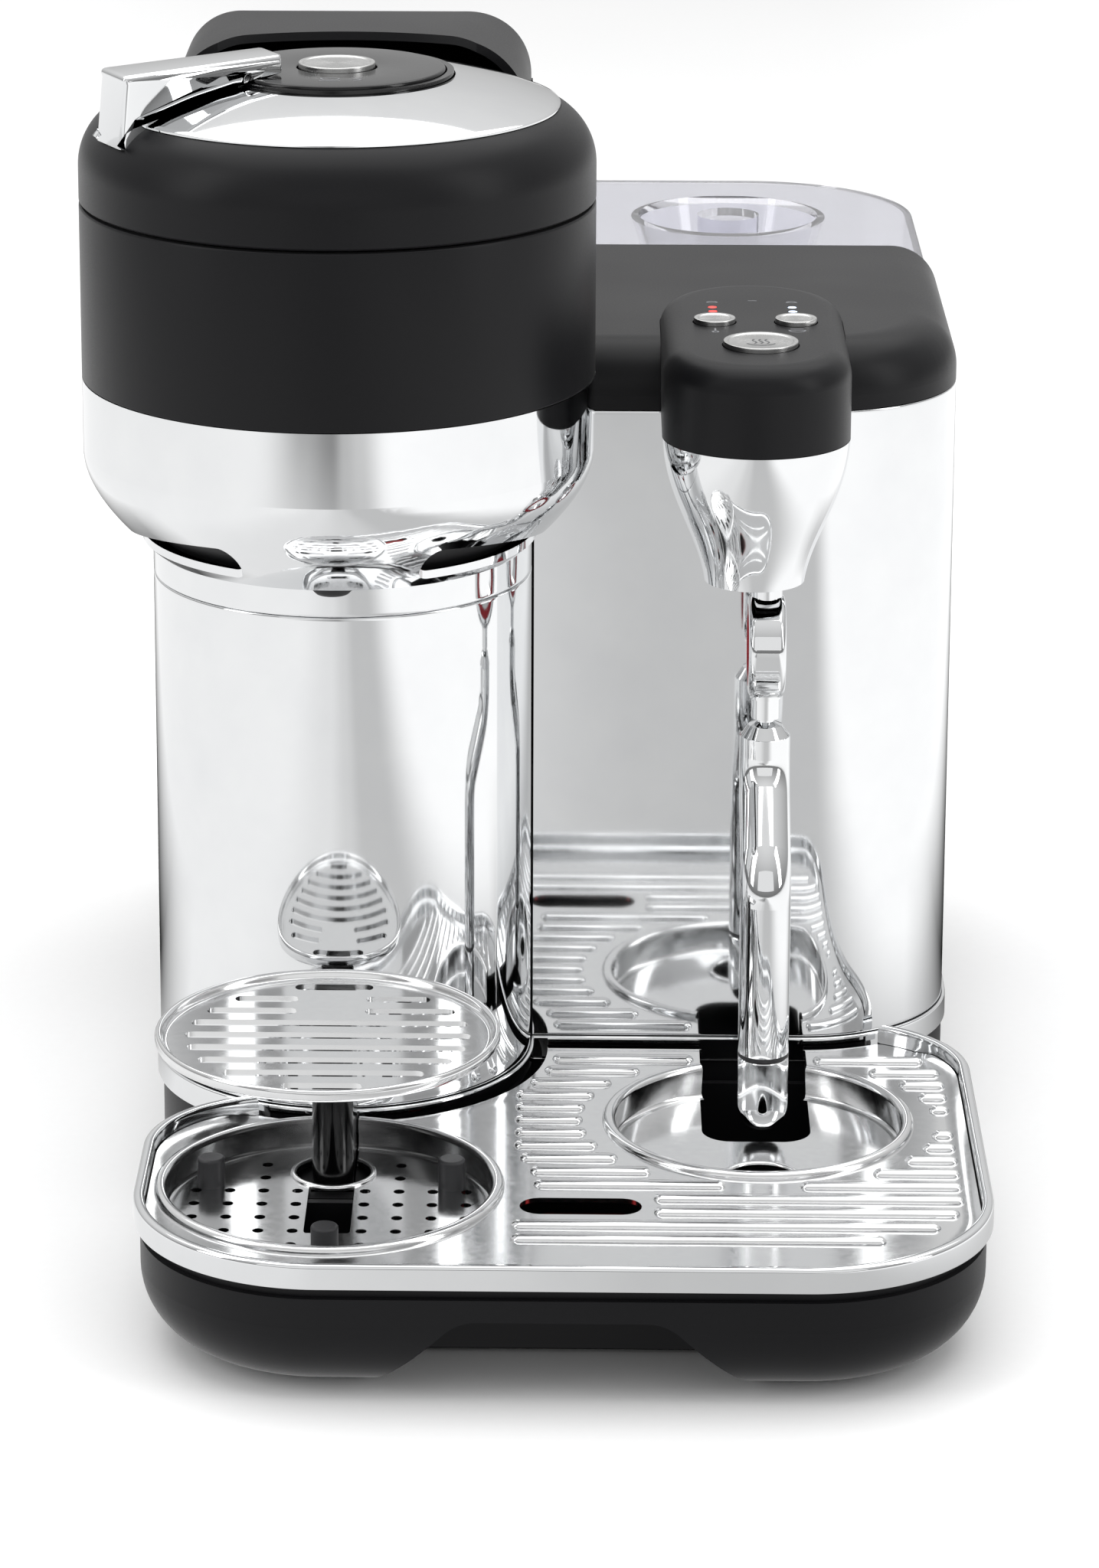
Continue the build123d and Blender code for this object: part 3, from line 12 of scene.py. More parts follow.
import bmesh
import bpy
import numpy as np
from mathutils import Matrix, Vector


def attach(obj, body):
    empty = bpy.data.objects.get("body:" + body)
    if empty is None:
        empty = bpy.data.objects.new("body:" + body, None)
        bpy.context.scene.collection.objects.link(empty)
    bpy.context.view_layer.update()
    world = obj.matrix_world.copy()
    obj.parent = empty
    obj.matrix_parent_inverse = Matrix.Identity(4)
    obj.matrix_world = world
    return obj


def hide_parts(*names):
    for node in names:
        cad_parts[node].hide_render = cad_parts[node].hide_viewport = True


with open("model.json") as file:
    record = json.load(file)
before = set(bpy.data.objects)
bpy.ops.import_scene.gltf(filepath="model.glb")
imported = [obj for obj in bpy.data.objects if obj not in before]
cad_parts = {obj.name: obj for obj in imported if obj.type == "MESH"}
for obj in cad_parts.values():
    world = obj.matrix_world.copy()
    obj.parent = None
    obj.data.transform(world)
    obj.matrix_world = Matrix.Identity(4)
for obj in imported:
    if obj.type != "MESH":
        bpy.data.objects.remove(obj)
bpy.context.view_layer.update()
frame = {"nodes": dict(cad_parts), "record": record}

# %% [markdown]
# ## Colours and nodes
# A colour is chosen on screen as sRGB, but light adds up in linear values. One function turns a hex colour
# into linear numbers, and one function adds a shader node with its settings and its links.

# %% Colour and node helpers
def linear(hex_colour):
    """Linear RGBA of an sRGB hex: c/12.92 when c is at most 0.04045, or else ((c + 0.055)/1.055) to the
    power 2.4."""
    c = np.array([int(hex_colour[i:i + 2], 16) for i in (1, 3, 5)]) / 255
    return (*np.where(c <= 0.04045, c / 12.92, ((c + 0.055) / 1.055) ** 2.4), 1.0)


def add_node(tree, kind, sockets=None, **settings):
    """Adds one node. A socket is given a value, or a (node, output name) pair that it is linked from."""
    node = tree.nodes.new(kind)
    for name, value in settings.items():
        setattr(node, name, value)
    for name, value in (sockets or {}).items():
        if isinstance(value, tuple) and isinstance(value[0], bpy.types.Node):
            tree.links.new(value[0].outputs[value[1]], node.inputs[name])
        else:
            node.inputs[name].default_value = value
    return node


# %% [markdown]
# ## One recipe for moulded and polished surfaces
# Real plastic and real metal are never one flat colour. A fine grain of a known size in millimetres changes
# the colour, the roughness and the height a little, and a slow cloud, centimetres wide, changes the gloss
# as handling does. Both are noises on Object coordinates, so they stay on the piece when it moves.

# %% Grained finish
def grained(name, dark, light, rough, grain_mm, depth_mm, cloud_mm=40.0, stretch=(1, 1, 1), **shader):
    """Material whose colour runs from dark to light and whose roughness spans rough, by noise of the given grain.
    Other settings are put straight on the shader's sockets."""
    material = bpy.data.materials.new(name)
    material.use_nodes = True
    tree = material.node_tree
    tree.nodes.clear()
    place = add_node(tree, "ShaderNodeTexCoord")
    turned_grain = add_node(tree, "ShaderNodeMapping", {"Vector": (place, "Object"), "Scale": stretch})
    fine = add_node(tree, "ShaderNodeTexNoise", {"Vector": (turned_grain, "Vector"), "Scale": 1000 / grain_mm,
                                                 "Detail": 3.0, "Roughness": 0.55})
    cloud = add_node(tree, "ShaderNodeTexNoise", {"Vector": (place, "Object"), "Scale": 1000 / cloud_mm,
                                                  "Detail": 2.0})
    both = add_node(tree, "ShaderNodeMix", {"Factor": 0.45, 2: (fine, "Fac"), 3: (cloud, "Fac")})
    colour = add_node(tree, "ShaderNodeMix", {"Factor": (both, 0), 6: linear(dark), 7: linear(light)},
                      data_type="RGBA")
    gloss = add_node(tree, "ShaderNodeMapRange", {"Value": (both, 0), "From Min": 0.3, "From Max": 0.7,
                                                  "To Min": rough[0], "To Max": rough[1]})
    relief = add_node(tree, "ShaderNodeBump", {"Height": (fine, "Fac"), "Strength": 0.35,
                                               "Distance": depth_mm / 1000})
    sockets = {"Base Color": (colour, 2), "Roughness": (gloss, "Result"), "Normal": (relief, "Normal")}
    sockets.update(shader)
    body = add_node(tree, "ShaderNodeBsdfPrincipled", sockets)
    add_node(tree, "ShaderNodeOutputMaterial", {"Surface": (body, "BSDF")})
    return material


# %% [markdown]
# ## The finishes
# Each one is named for its material and how it was made. Metals keep the default IOR, and plastics use
# about 1.5.

# %% Metals
METAL = {"Metallic": 1.0}
FINISHES = {
    # Chromium plate on polished steel sheet: a cool mirror with the faint waviness of rolled sheet.
    "polished_steel": grained("chromed_steel_polished", "#dcdddf", "#ebecec",
                              (0.03, 0.06), 14.0, 0.004, 60, **METAL),
    # Stainless sheet after deep drawing: bright, but softer than the chrome.
    "pressed_steel": grained("stainless_sheet_pressed", "#dadbdc", "#e9e9e9",
                             (0.1, 0.19), 2.2, 0.006, 30, **METAL),
    # Machine screws and the pin: plain zinc-plated steel.
    "plain_steel": grained("zinc_plated_steel", "#8d9092", "#a9acae", (0.28, 0.4), 0.8, 0.01, 12, **METAL),
    # Die-cast aluminium: sand-like skin, dull grey.
    "cast_aluminium": grained("die_cast_aluminium", "#9b9c9c", "#b5b6b5", (0.45, 0.6), 0.9, 0.06, 20, **METAL),
    # Motor and pump cans: pressed steel under a clear lacquer.
    "motor_case": grained("lacquered_steel_can", "#6a6c6e", "#808284", (0.3, 0.42), 1.5, 0.01, 20,
                          **{"Metallic": 1.0, "Coat Weight": 0.3}),
}
print("metals:", len(FINISHES))

# %% Plastics and rubbers
PLASTIC = {"IOR": 1.5}
FINISHES.update({
    # ABS with a soft-touch paint: charcoal, nearly matt, with a wide sheen where light grazes it.
    "black_shell": grained("soft_touch_painted_abs", "#0b0b0d", "#121215", (0.34, 0.44), 0.5, 0.012, 50,
                           **{"IOR": 1.48, "Specular IOR Level": 0.2, "Sheen Weight": 0.03,
                              "Sheen Roughness": 0.5}),
    # Bare moulded ABS on the parts inside: fine spark-eroded texture.
    "inner_plastic": grained("moulded_abs_textured", "#161617", "#202022", (0.5, 0.62), 0.7, 0.03, 30, **PLASTIC),
    # Piano black: moulded ABS polished in the mould.
    "gloss_black": grained("mould_polished_abs", "#060607", "#0a0a0b", (0.12, 0.18), 3.0, 0.002, 40,
                           **{"IOR": 1.5, "Specular IOR Level": 0.4}),
    # Soft moulded rubber of the feet and pads.
    "rubber": grained("moulded_silicone_rubber", "#2a2a2c", "#3a3a3c",
                      (0.4, 0.55), 0.6, 0.02, 10, **{"IOR": 1.43}),
    # Red elastomer in the finger hoop.
    "red_rubber": grained("moulded_red_elastomer", "#8e1220", "#b01c2a", (0.32, 0.45), 0.6, 0.015, 10,
                          **{"IOR": 1.46}),
    # Float of the tray: solid red polypropylene.
    "red_float": grained("moulded_red_polypropylene", "#a31b1e", "#c02a2b",
                         (0.3, 0.42), 1.0, 0.01, 15, **PLASTIC),
    # Glass-fibre board under green solder resist.
    "circuit_board": grained("glass_fibre_board", "#123a26", "#1c5234", (0.35, 0.5), 0.9, 0.01, 15, **PLASTIC),
})
print("finishes so far:", len(FINISHES))

# %% Clear plastic and lamp lenses
FINISHES.update({
    # Injection-moulded clear SAN: water-clear with a faint cool tint.
    "clear_plastic": grained("clear_moulded_san", "#ececf3", "#f6f6fa", (0.03, 0.08), 20.0, 0.01, 60,
                             **{"IOR": 1.49, "Transmission Weight": 0.94}),
    # Tinted lenses over light-emitting diodes, lit from inside.
    "red_lens": grained("lit_red_lens", "#b01010", "#d81c14", (0.15, 0.25), 0.8, 0.005, 5,
                        **{"IOR": 1.5, "Emission Color": linear("#ff2a1c"), "Emission Strength": 1.6}),
    "white_lens": grained("lit_white_lens", "#c8d8f0", "#e4eefb", (0.15, 0.25), 0.8, 0.005, 5,
                          **{"IOR": 1.5, "Emission Color": linear("#cfe2ff"), "Emission Strength": 1.4}),
})

# %% [markdown]
# ## Spun metal buttons
# A turned button carries fine rings from the tool. The rings scatter light across them and not along them,
# which gives the fan of light and dark that turns round the middle. Rings 0.35 mm apart are drawn, coarser
# than the real ones, so that they show.

# %% Spun finish
def spun(name, x_mm, y_mm):
    """Metal with tool rings round a vertical axis at x, y: a ring wave on Object coordinates moved to that axis."""
    material = grained(name, "#b4b4b3", "#cfcfce", (0.2, 0.3), 1.2, 0.004, 12,
                       **{"Metallic": 1.0, "Anisotropic": 0.75})
    tree = material.node_tree
    shader = next(n for n in tree.nodes if n.type == "BSDF_PRINCIPLED")
    relief = next(n for n in tree.nodes if n.type == "BUMP")
    place = next(n for n in tree.nodes if n.type == "TEX_COORD")
    centred = add_node(tree, "ShaderNodeMapping", {"Vector": (place, "Object"),
                                                   "Location": (-x_mm / 1000, -y_mm / 1000, 0)})
    rings = add_node(tree, "ShaderNodeTexWave", {"Vector": (centred, "Vector"), "Scale": 1000 / 0.35 / 20,
                                                 "Distortion": 0.4, "Detail": 1.0},
                     wave_type="RINGS", rings_direction="Z")
    tree.links.new(rings.outputs["Fac"], relief.inputs["Height"])
    direction = add_node(tree, "ShaderNodeTangent", direction_type="RADIAL", axis="Z")
    tree.links.new(direction.outputs["Tangent"], shader.inputs["Tangent"])
    return material


# %% [markdown]
# ## Paint every CAD part
# The parts inside the machine keep their CAD shape. Each gets the finish of its own material slot.

# %% Finish on the CAD nodes
slot_of = {}
for node_name, cad_object in frame["nodes"].items():
    slot_of[node_name] = cad_object.data.materials[0].name.split(".")[0]
    if slot_of[node_name] in FINISHES:
        cad_object.data.materials[0] = FINISHES[slot_of[node_name]]
print("CAD parts:", len(slot_of), "slots:", sorted(set(slot_of.values())))

# %% [markdown]
# ## Surfaces from numpy grids
# A surface here is a grid of points: one direction runs along a profile, the other round an axis or along
# an outline. The grid is worked out as whole arrays, and neighbouring points become four-sided faces.
# Points that fall together, at a pole or a seam, are merged, and the faces of the closed skin are turned
# outwards.

# %% Grid to mesh
body_of = {n: body for body, members in frame["record"]["behaviour"]["bodies"].items() for n in members}


def grid_faces(rows, columns, wrap_rows, wrap_columns, start=0):
    """Four corners of each cell: (i, j), (i, j+1), (i+1, j+1), (i+1, j), counted round where a direction is
    closed."""
    i = np.arange(rows if wrap_rows else rows - 1)[:, None]
    j = np.arange(columns if wrap_columns else columns - 1)[None, :]
    up, over = (i + 1) % rows, (j + 1) % columns
    corners = [i * columns + j, i * columns + over, up * columns + over, up * columns + j]
    return np.stack(np.broadcast_arrays(*corners), -1).reshape(-1, 4) + start


def piece(name, node_name, grids, material=None, slot=None, body=None, sharp=38.0):
    """Makes one object from grids of points in mm, and puts it in the place of a CAD node (or beside one).
    Each grid is (points, rows closed, columns closed, caps), where caps closes open ends with flat faces."""
    points, faces, start = [], [], 0
    for grid, wrap_rows, wrap_columns, caps in grids:
        rows, columns = grid.shape[:2]
        points.append(grid.reshape(-1, 3) / 1000)
        faces += grid_faces(rows, columns, wrap_rows, wrap_columns, start).tolist()
        if caps == "columns":
            faces += [(np.arange(rows) * columns + start).tolist(),
                      (np.arange(rows) * columns + columns - 1 + start).tolist()]
        if caps == "rows":
            faces += [(np.arange(columns) + start).tolist(),
                      (np.arange(columns) + (rows - 1) * columns + start).tolist()]
        start += rows * columns
    mesh = bpy.data.meshes.new(name)
    mesh.from_pydata(np.concatenate(points), [], faces)
    return finish_piece(mesh, name, node_name, material, slot, body, sharp)


def finish_piece(mesh, name, node_name, material, slot, body, sharp):
    """Merges doubles, turns the faces outwards, shades smooth up to an angle, and hangs the piece on its body."""
    work = bmesh.new()
    work.from_mesh(mesh)
    bmesh.ops.remove_doubles(work, verts=work.verts, dist=1e-6)
    bmesh.ops.dissolve_degenerate(work, edges=work.edges, dist=1e-7)
    bmesh.ops.recalc_face_normals(work, faces=work.faces)
    work.to_mesh(mesh)
    work.free()
    mesh.shade_smooth()
    mesh.set_sharp_from_angle(angle=math.radians(sharp))
    made = bpy.data.objects.new(name, mesh)
    bpy.context.scene.collection.objects.link(made)
    slot = slot or slot_of[node_name]
    mesh.materials.append(material or FINISHES[slot])
    if body is None:
        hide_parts(node_name)
        body = body_of[node_name]
    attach(made, body)
    print(f"{name}: {len(mesh.polygons)} faces on {body}")
    return made


# %% [markdown]
# ## Profiles, turning and carrying
# Pressed and moulded edges are never knife-sharp. `eased` rounds each corner of a profile with a short
# parabola, which leaves the narrow highlight that a real edge has. `turned` spins a profile round an
# upright axis, as on a lathe, and `carried` takes it along an outline seen from above.

# %% Shape helpers
def eased(points, reach, steps=6):
    """Closed profile with rounded corners. Near corner P, from A to B: (1-s)^2 A + 2 s (1-s) P + s^2 B, where A and
    B lie `reach` away from P along its two sides."""
    p = np.asarray(points, float)
    reach = np.broadcast_to(np.asarray(reach, float), len(p))[:, None]
    s = np.linspace(0, 1, steps)[None, :, None]
    ends = []
    for other in (np.roll(p, 1, 0), np.roll(p, -1, 0)):
        side = other - p
        length = np.linalg.norm(side, axis=1, keepdims=True) + 1e-9
        ends.append(p + side / length * np.minimum(reach, 0.48 * length))
    a, b = ends[0][:, None], ends[1][:, None]
    return ((1 - s) ** 2 * a + 2 * s * (1 - s) * p[:, None] + s ** 2 * b).reshape(-1, 2)


def bezier(p, count=40):
    """Cubic Bezier curve: the four points weighted by (1-t)^3, 3t(1-t)^2, 3t^2(1-t) and t^3."""
    t = np.linspace(0, 1, count)[:, None]
    p = np.asarray(p, float)
    return (1 - t) ** 3 * p[0] + 3 * t * (1 - t) ** 2 * p[1] + 3 * t ** 2 * (1 - t) * p[2] + t ** 3 * p[3]


def arc(x, y, radius, first, last, count=33):
    """Points on a circle between two bearings in degrees."""
    t = np.radians(np.linspace(first, last, count))
    return np.stack([x + radius * np.cos(t), y + radius * np.sin(t)], 1)


def turned(profile, x, y, first=0.0, last=360.0, columns=192):
    """Profile (r, z) spun round the upright axis at x, y: (x + r cos a, y + r sin a, z)."""
    whole = last - first >= 360
    a = np.radians(np.linspace(first, last, columns, endpoint=not whole))[None, :]
    r, z = np.asarray(profile, float).T[:, :, None]
    grid = np.stack(np.broadcast_arrays(x + r * np.cos(a), y + r * np.sin(a), z + 0 * a), -1)
    return (grid, True, whole, None if whole else "columns")


def carried(profile, plan, closed):
    """Profile (inset, z) along an outline: the outline drawn at each inset, lifted to that z."""
    grid = np.stack([np.column_stack([plan(inset), np.full(len(plan(inset)), z)]) for inset, z in profile])
    return (grid, True, closed, None if closed else "columns")


def strip(thickness, low, high, ease=0.3):
    """Cross-section of an upright sheet: a rectangle with eased corners. A row 1.5 mm inside each end keeps the
    long faces truly flat under smooth shading."""
    return eased([(0, low), (0, low + 1.5), (0, high - 1.5), (0, high),
                  (thickness, high), (thickness, high - 1.5), (thickness, low + 1.5), (thickness, low)], ease, 4)

# %% [markdown]
# ## The head: bowl, band and lid
# The head is a stack of turned parts on one axis: a drawn steel bowl, a moulded band, and a lid with a
# rounded shoulder under a thin bright dome. They are turned again here with more steps and eased edges,
# because a mirror shows every flat. The bowl keeps its CAD mesh, whose crescent vents are cut through.

# %% Band and lid
HEAD_X, HEAD_Y, HEAD_R = -52.3, -59.0, 69.0
SHOULDER_X, SHOULDER_Z, SHOULDER_R = 52.0, 291.5, 17.0

band = eased([(66.6, 234.1), (66.6, 281.4), (HEAD_R, 281.4), (HEAD_R, 234.1)], (0.3, 0.3, 0.7, 0.5))
piece("head_band_skin", "head_band", [turned(band, HEAD_X, HEAD_Y)])

shoulder = arc(SHOULDER_X, SHOULDER_Z, SHOULDER_R, 0, 63.8, 30)
lid = np.vstack([[(66.6, 282.6), (66.9, 282.0), (68.4, 282.0), (HEAD_R, 282.6)], shoulder,
                 [(59.5, 306.4), (33.0, 313.8), (33.0, 311.8)],
                 arc(SHOULDER_X, SHOULDER_Z, SHOULDER_R - 2.4, 74, 0, 24)])
piece("lid_shell_skin", "lid_shell", [turned(lid, HEAD_X, HEAD_Y)])

# %% Dome and control disc
def shallow(r_outer, z_outer, r_inner, z_inner, bulge, count=24):
    """Arc-like rise from the outer edge to the inner one: a straight line plus bulge times 4 s (1 - s)."""
    s = np.linspace(0, 1, count)
    return np.stack([r_outer + (r_inner - r_outer) * s,
                     z_outer + (z_inner - z_outer) * s + 4 * bulge * s * (1 - s)], 1)


dome = np.vstack([[(59.15, 306.75), (59.4, 307.0), (59.4, 307.4)], shallow(59.1, 307.75, 31.9, 315.2, 0.8),
                  [(31.5, 315.1), (31.5, 314.4)], shallow(32, 314.2, 59.0, 306.8, 0.8)])
piece("lid_dome_skin", "lid_dome", [turned(dome, HEAD_X, HEAD_Y)])

disc = eased([(10.7, 314.8), (28.9, 314.8), (28.9, 317.0), (10.7, 317.0)], (0.1, 0.3, 0.9, 0.4))
piece("control_disc_skin", "control_disc", [turned(disc, HEAD_X, HEAD_Y)])

# %% Buttons
def button_profile(radius, top_z):
    """Section of a turned button: stem, flange, skirt, eased rim and a dish 0.4 mm deep."""
    return np.vstack([eased([(0, top_z - 13), (2, top_z - 13), (2, top_z - 6), (radius + 1.2, top_z - 6),
                             (radius + 1.2, top_z - 4.6), (radius, top_z - 4.6), (radius, top_z),
                             (radius - 1.1, top_z - 0.05), (radius - 1.5, top_z - 0.4), (0, top_z - 0.4)],
                            (0, 0.2, 0.2, 0.2, 0.2, 0.2, 0.4, 0.3, 0.3, 0))])


BUTTONS = {"brew_button": (HEAD_X, HEAD_Y, 10.2, 318.4), "start_button": (61.0, -60.6, 10.1, 243.4),
           "temperature_button": (49.2, -33.8, 5.7, 243.4), "froth_button": (71.4, -33.8, 5.7, 243.4)}
for node_name, (x, y, radius, top_z) in BUTTONS.items():
    metal = spun(f"{node_name}_turned_aluminium", x, y)
    piece(f"{node_name}_face", node_name, [turned(button_profile(radius, top_z), x, y, columns=128)], metal)

# %% [markdown]
# ## Symbols
# The buttons are marked with small generic line symbols, printed in grey on the black cover and etched in the
# metal. Each is a flat ribbon 0.06 mm high that follows a line, so that it catches the light as ink does.

# %% Printed symbols
INK = grained("printed_grey_ink", "#77787b", "#8b8c90", (0.5, 0.6), 0.4, 0.002, 6, **{"IOR": 1.5})
ETCH = grained("etched_dark_line", "#4a4b4d", "#5a5b5e", (0.5, 0.6), 0.4, 0.002, 6, **{"IOR": 1.5})


def ribbon(line, width, low, height=0.06):
    """Flat ribbon: each point of the line is pushed aside by half the width along the line's own normal."""
    line = np.asarray(line, float)
    run = np.gradient(line, axis=0)
    side = np.stack([-run[:, 1], run[:, 0]], 1) / (np.linalg.norm(run, axis=1, keepdims=True) + 1e-9)
    section = [(-width / 2, low), (-width / 2, low + height), (width / 2, low + height), (width / 2, low)]
    grid = np.stack([np.column_stack([line + side * w, np.full(len(line), z)]) for w, z in section])
    return (grid, True, False, "columns")


def straight(x0, y0, x1, y1, count=8):
    """Points evenly spaced from one point to another."""
    return np.linspace((x0, y0), (x1, y1), count)


disc_z = 316.98
cup_x, cup_y = HEAD_X - 1.0, HEAD_Y - 18.5
cup_mark = [ribbon(straight(cup_x - 2.6, cup_y + 1.6, cup_x + 2.6, cup_y + 1.6), 0.4, disc_z),
            ribbon(arc(cup_x, cup_y + 1.5, 2.4, 180, 360, 17), 0.4, disc_z),
            ribbon(straight(cup_x - 2.8, cup_y - 2.2, cup_x + 2.8, cup_y - 2.2), 0.4, disc_z),
            ribbon(straight(cup_x + 6.2, cup_y + 1.4, cup_x + 8.4, cup_y - 0.2), 0.5, disc_z),
            ribbon(straight(cup_x + 8.4, cup_y - 0.2, cup_x + 6.2, cup_y - 1.8), 0.5, disc_z)]
lock_x, lock_y = HEAD_X - 19.5, HEAD_Y + 1.0
lock_mark = [ribbon(straight(lock_x - 2, lock_y, lock_x + 2, lock_y), 0.45, disc_z),
             ribbon(straight(lock_x - 2, lock_y - 2.6, lock_x + 2, lock_y - 2.6), 0.45, disc_z),
             ribbon(straight(lock_x - 2, lock_y, lock_x - 2, lock_y - 2.6), 0.45, disc_z),
             ribbon(straight(lock_x + 2, lock_y, lock_x + 2, lock_y - 2.6), 0.45, disc_z),
             ribbon(arc(lock_x, lock_y, 1.5, 0, 180, 17), 0.4, disc_z)]
piece("control_symbols", None, cup_mark + lock_mark, INK, "gloss_black", "lid")

# %% Etched and printed marks on the pod
rim_z = 243.0 - 0.02
steam = [ribbon(np.stack([61.0 + off + 0.5 * np.sin(np.linspace(0, 6.2, 14)),
                          np.linspace(-62.8, -58.2, 14)], 1),
                0.45, rim_z) for off in (-1.7, 0.0, 1.7)]
piece("start_symbol", None, steam + [ribbon(arc(61.0, -60.4, 4.6, 215, 325, 19), 0.45, rim_z)], ETCH,
      "spun_metal", "start_key")
pod_z = 241.98
marks = [ribbon(straight(49.2, -44.6, 49.2, -41.4), 0.5, pod_z),
         ribbon(arc(49.2, -45.4, 0.8, 0, 360, 17), 0.5, pod_z),
         ribbon(arc(71.4, -43.4, 2.2, 180, 360, 15), 0.45, pod_z),
         ribbon(straight(69.0, -43.3, 73.8, -43.3), 0.45, pod_z),
         ribbon(straight(69.6, -41.9, 73.2, -41.9), 0.45, pod_z),
         ribbon(straight(47.6, -10.6, 50.4, -10.6), 0.45, pod_z),
         ribbon(arc(49.0, -10.6, 1.4, 0, 180, 15), 0.45, pod_z),
         ribbon(straight(59.0, -8.2, 61.4, -8.2), 0.45, pod_z),
         ribbon(straight(69.6, -10.4, 72.4, -10.4), 0.45, pod_z),
         ribbon(arc(71.0, -10.4, 1.4, 0, 180, 15), 0.45, pod_z)]
piece("pod_symbols", None, marks, INK, "black_shell", "chassis")

# %% [markdown]
# ## Locking lever
# The lever is a bright cast bar whose underside follows the lid. Its side view is a closed line, repeated
# across the width, and drawn in a little at both faces so that its long edges are bevelled and catch the
# light.

# %% Lever
LEVER_TURN = math.radians(28.5)
reach_r = SHOULDER_R + 0.7
lever_line = np.vstack([
    arc(SHOULDER_X, SHOULDER_Z, reach_r, 36, 56, 16),
    eased([(60.6, 308.7), (45.5, 313.5), (33.0, 316.3), (31.1, 316.2), (29.3, 316.2), (29.3, 317.6),
           (18.0, 317.6), (18.0, 322.9), (65.6, 321.0)], (0.2, 3, 1, 0.2, 0.2, 0.2, 0.4, 2.2, 2.4), 7)])


def inward(line, amount):
    """Closed line moved to its inside: each point goes along the normal of the line through its two neighbours."""
    run = np.roll(line, -1, 0) - np.roll(line, 1, 0)
    normal = np.stack([-run[:, 1], run[:, 0]], 1)
    normal /= np.linalg.norm(normal, axis=1, keepdims=True) + 1e-9
    x, y = line.T
    area = np.sum(x * np.roll(y, -1) - y * np.roll(x, -1))
    return line + normal * amount * np.sign(area)


LEVER_HALF, BEVEL_REACH = 8.0, 1.5
round_off = np.radians([0, 18, 36, 54, 72, 88])
bevel_half = BEVEL_REACH * (1 - np.sin(round_off))
across_half = LEVER_HALF - BEVEL_REACH + BEVEL_REACH * np.cos(round_off)
BEVEL = np.concatenate([bevel_half, [0.0], bevel_half[::-1]])
ACROSS = np.concatenate([-across_half, [0.0], across_half[::-1]])
sections = np.stack([inward(lever_line, amount) for amount in BEVEL])
r, z = sections[..., 0], sections[..., 1]
narrow = 1 - 0.62 * (1 - np.sqrt(np.clip(1 - (np.clip(24.0 - r, 0, 6) / 6) ** 2, 0, 1)))
w = ACROSS[:, None] * narrow
lever_grid = np.stack([HEAD_X - math.cos(LEVER_TURN) * r - math.sin(LEVER_TURN) * w,
                       HEAD_Y - math.sin(LEVER_TURN) * r + math.cos(LEVER_TURN) * w, z], -1)
piece("lever_bar", "lever_blade", [(lever_grid, False, True, "rows")], sharp=50)

# %% [markdown]
# ## Column, collar, body and foot band
# These are sheet-metal wraps: a strip of steel bent round an outline. The outline is drawn at any inset,
# and the strip's cross-section is carried along it.

# %% Outlines of the column and the body
COLUMN_X, COLUMN_Y, COLUMN_R, COLUMN_BACK = -52.3, -43.0, 51.9, 67.0
BODY_LEFT, BODY_RIGHT, BODY_FRONT, BODY_BACK = 0.2, 118.0, -38.0, 91.0


def column_plan(inset):
    """From the back left corner forwards, round the half circle, to the back right corner."""
    radius = COLUMN_R - inset
    return np.vstack([straight(COLUMN_X - radius, COLUMN_BACK, COLUMN_X - radius, COLUMN_Y, 12)[:-1],
                      arc(COLUMN_X, COLUMN_Y, radius, 180, 360, 121),
                      straight(COLUMN_X + radius, COLUMN_Y, COLUMN_X + radius, COLUMN_BACK, 12)[1:]])


def body_plan(inset):
    """From the front left edge along the front, round the large corner, to the back right edge."""
    return np.vstack([straight(BODY_LEFT, BODY_FRONT + inset, 76.0, BODY_FRONT + inset, 60)[:-1],
                      arc(76.0, 4.0, 42.0 - inset, -90, 0, 61),
                      straight(BODY_RIGHT - inset, 4.0, BODY_RIGHT - inset, BODY_BACK, 20)[1:]])


piece("column_wrap", "column_shell", [carried(strip(1.6, 36.0, 175.0, 0.5), column_plan, False)])
piece("neck_collar_wrap", "neck_collar", [carried(strip(1.6, 175.1, 186.9, 0.5), column_plan, False)])

# %% Body wrap, cut under the bowl
wrap, *flags = carried(strip(1.6, 36.0, 217.8, 0.4), body_plan, False)
bowl_line = bezier([(50.8, 187), (60.8, 196), (69, 205), (69, 214)])
from_head = np.hypot(wrap[..., 0] - HEAD_X, wrap[..., 1] - HEAD_Y)
ceiling = np.where(from_head < HEAD_R + 0.6,
                   np.interp(from_head - 0.6, bowl_line[:, 0], bowl_line[:, 1]) - 0.6, 999)
wrap[..., 2] = 36 + (wrap[..., 2] - 36) * (np.minimum(ceiling, 217.8) - 36) / (217.8 - 36)
piece("body_wrap", "body_shell", [(wrap, *flags)])

band_strip = strip(1.2, 29.0, 35.9, 0.5)
foot_column, *foot_flags = carried(band_strip, lambda inset: column_plan(inset - 1.0), False)
body_foot = carried(band_strip, lambda inset: body_plan(inset - 1.0), False)
piece("foot_bands", "foot_ring", [(foot_column, *foot_flags), body_foot])

# %% [markdown]
# ## Pod bell and wand
# The bell is spun sheet, so it is turned again with an eased mouth. The wand's bent tube keeps its CAD
# mesh, and a thin black seal ring is added where the tube meets the tip.

# %% Bell and seal
bell_out = bezier([(13.5, 178.0), (15.4, 191.0), (24.5, 201.0), (25.3, 217.8)])
bell_in = bezier([(12.1, 178.3), (14.0, 191.0), (23.1, 201.0), (23.9, 217.8)])[::-1]
piece("pod_bell_skin", "pod_bell",
      [turned(np.vstack([[(12.4, 177.9), (13.0, 177.8)], bell_out, bell_in]), 60.0, -64.7)])

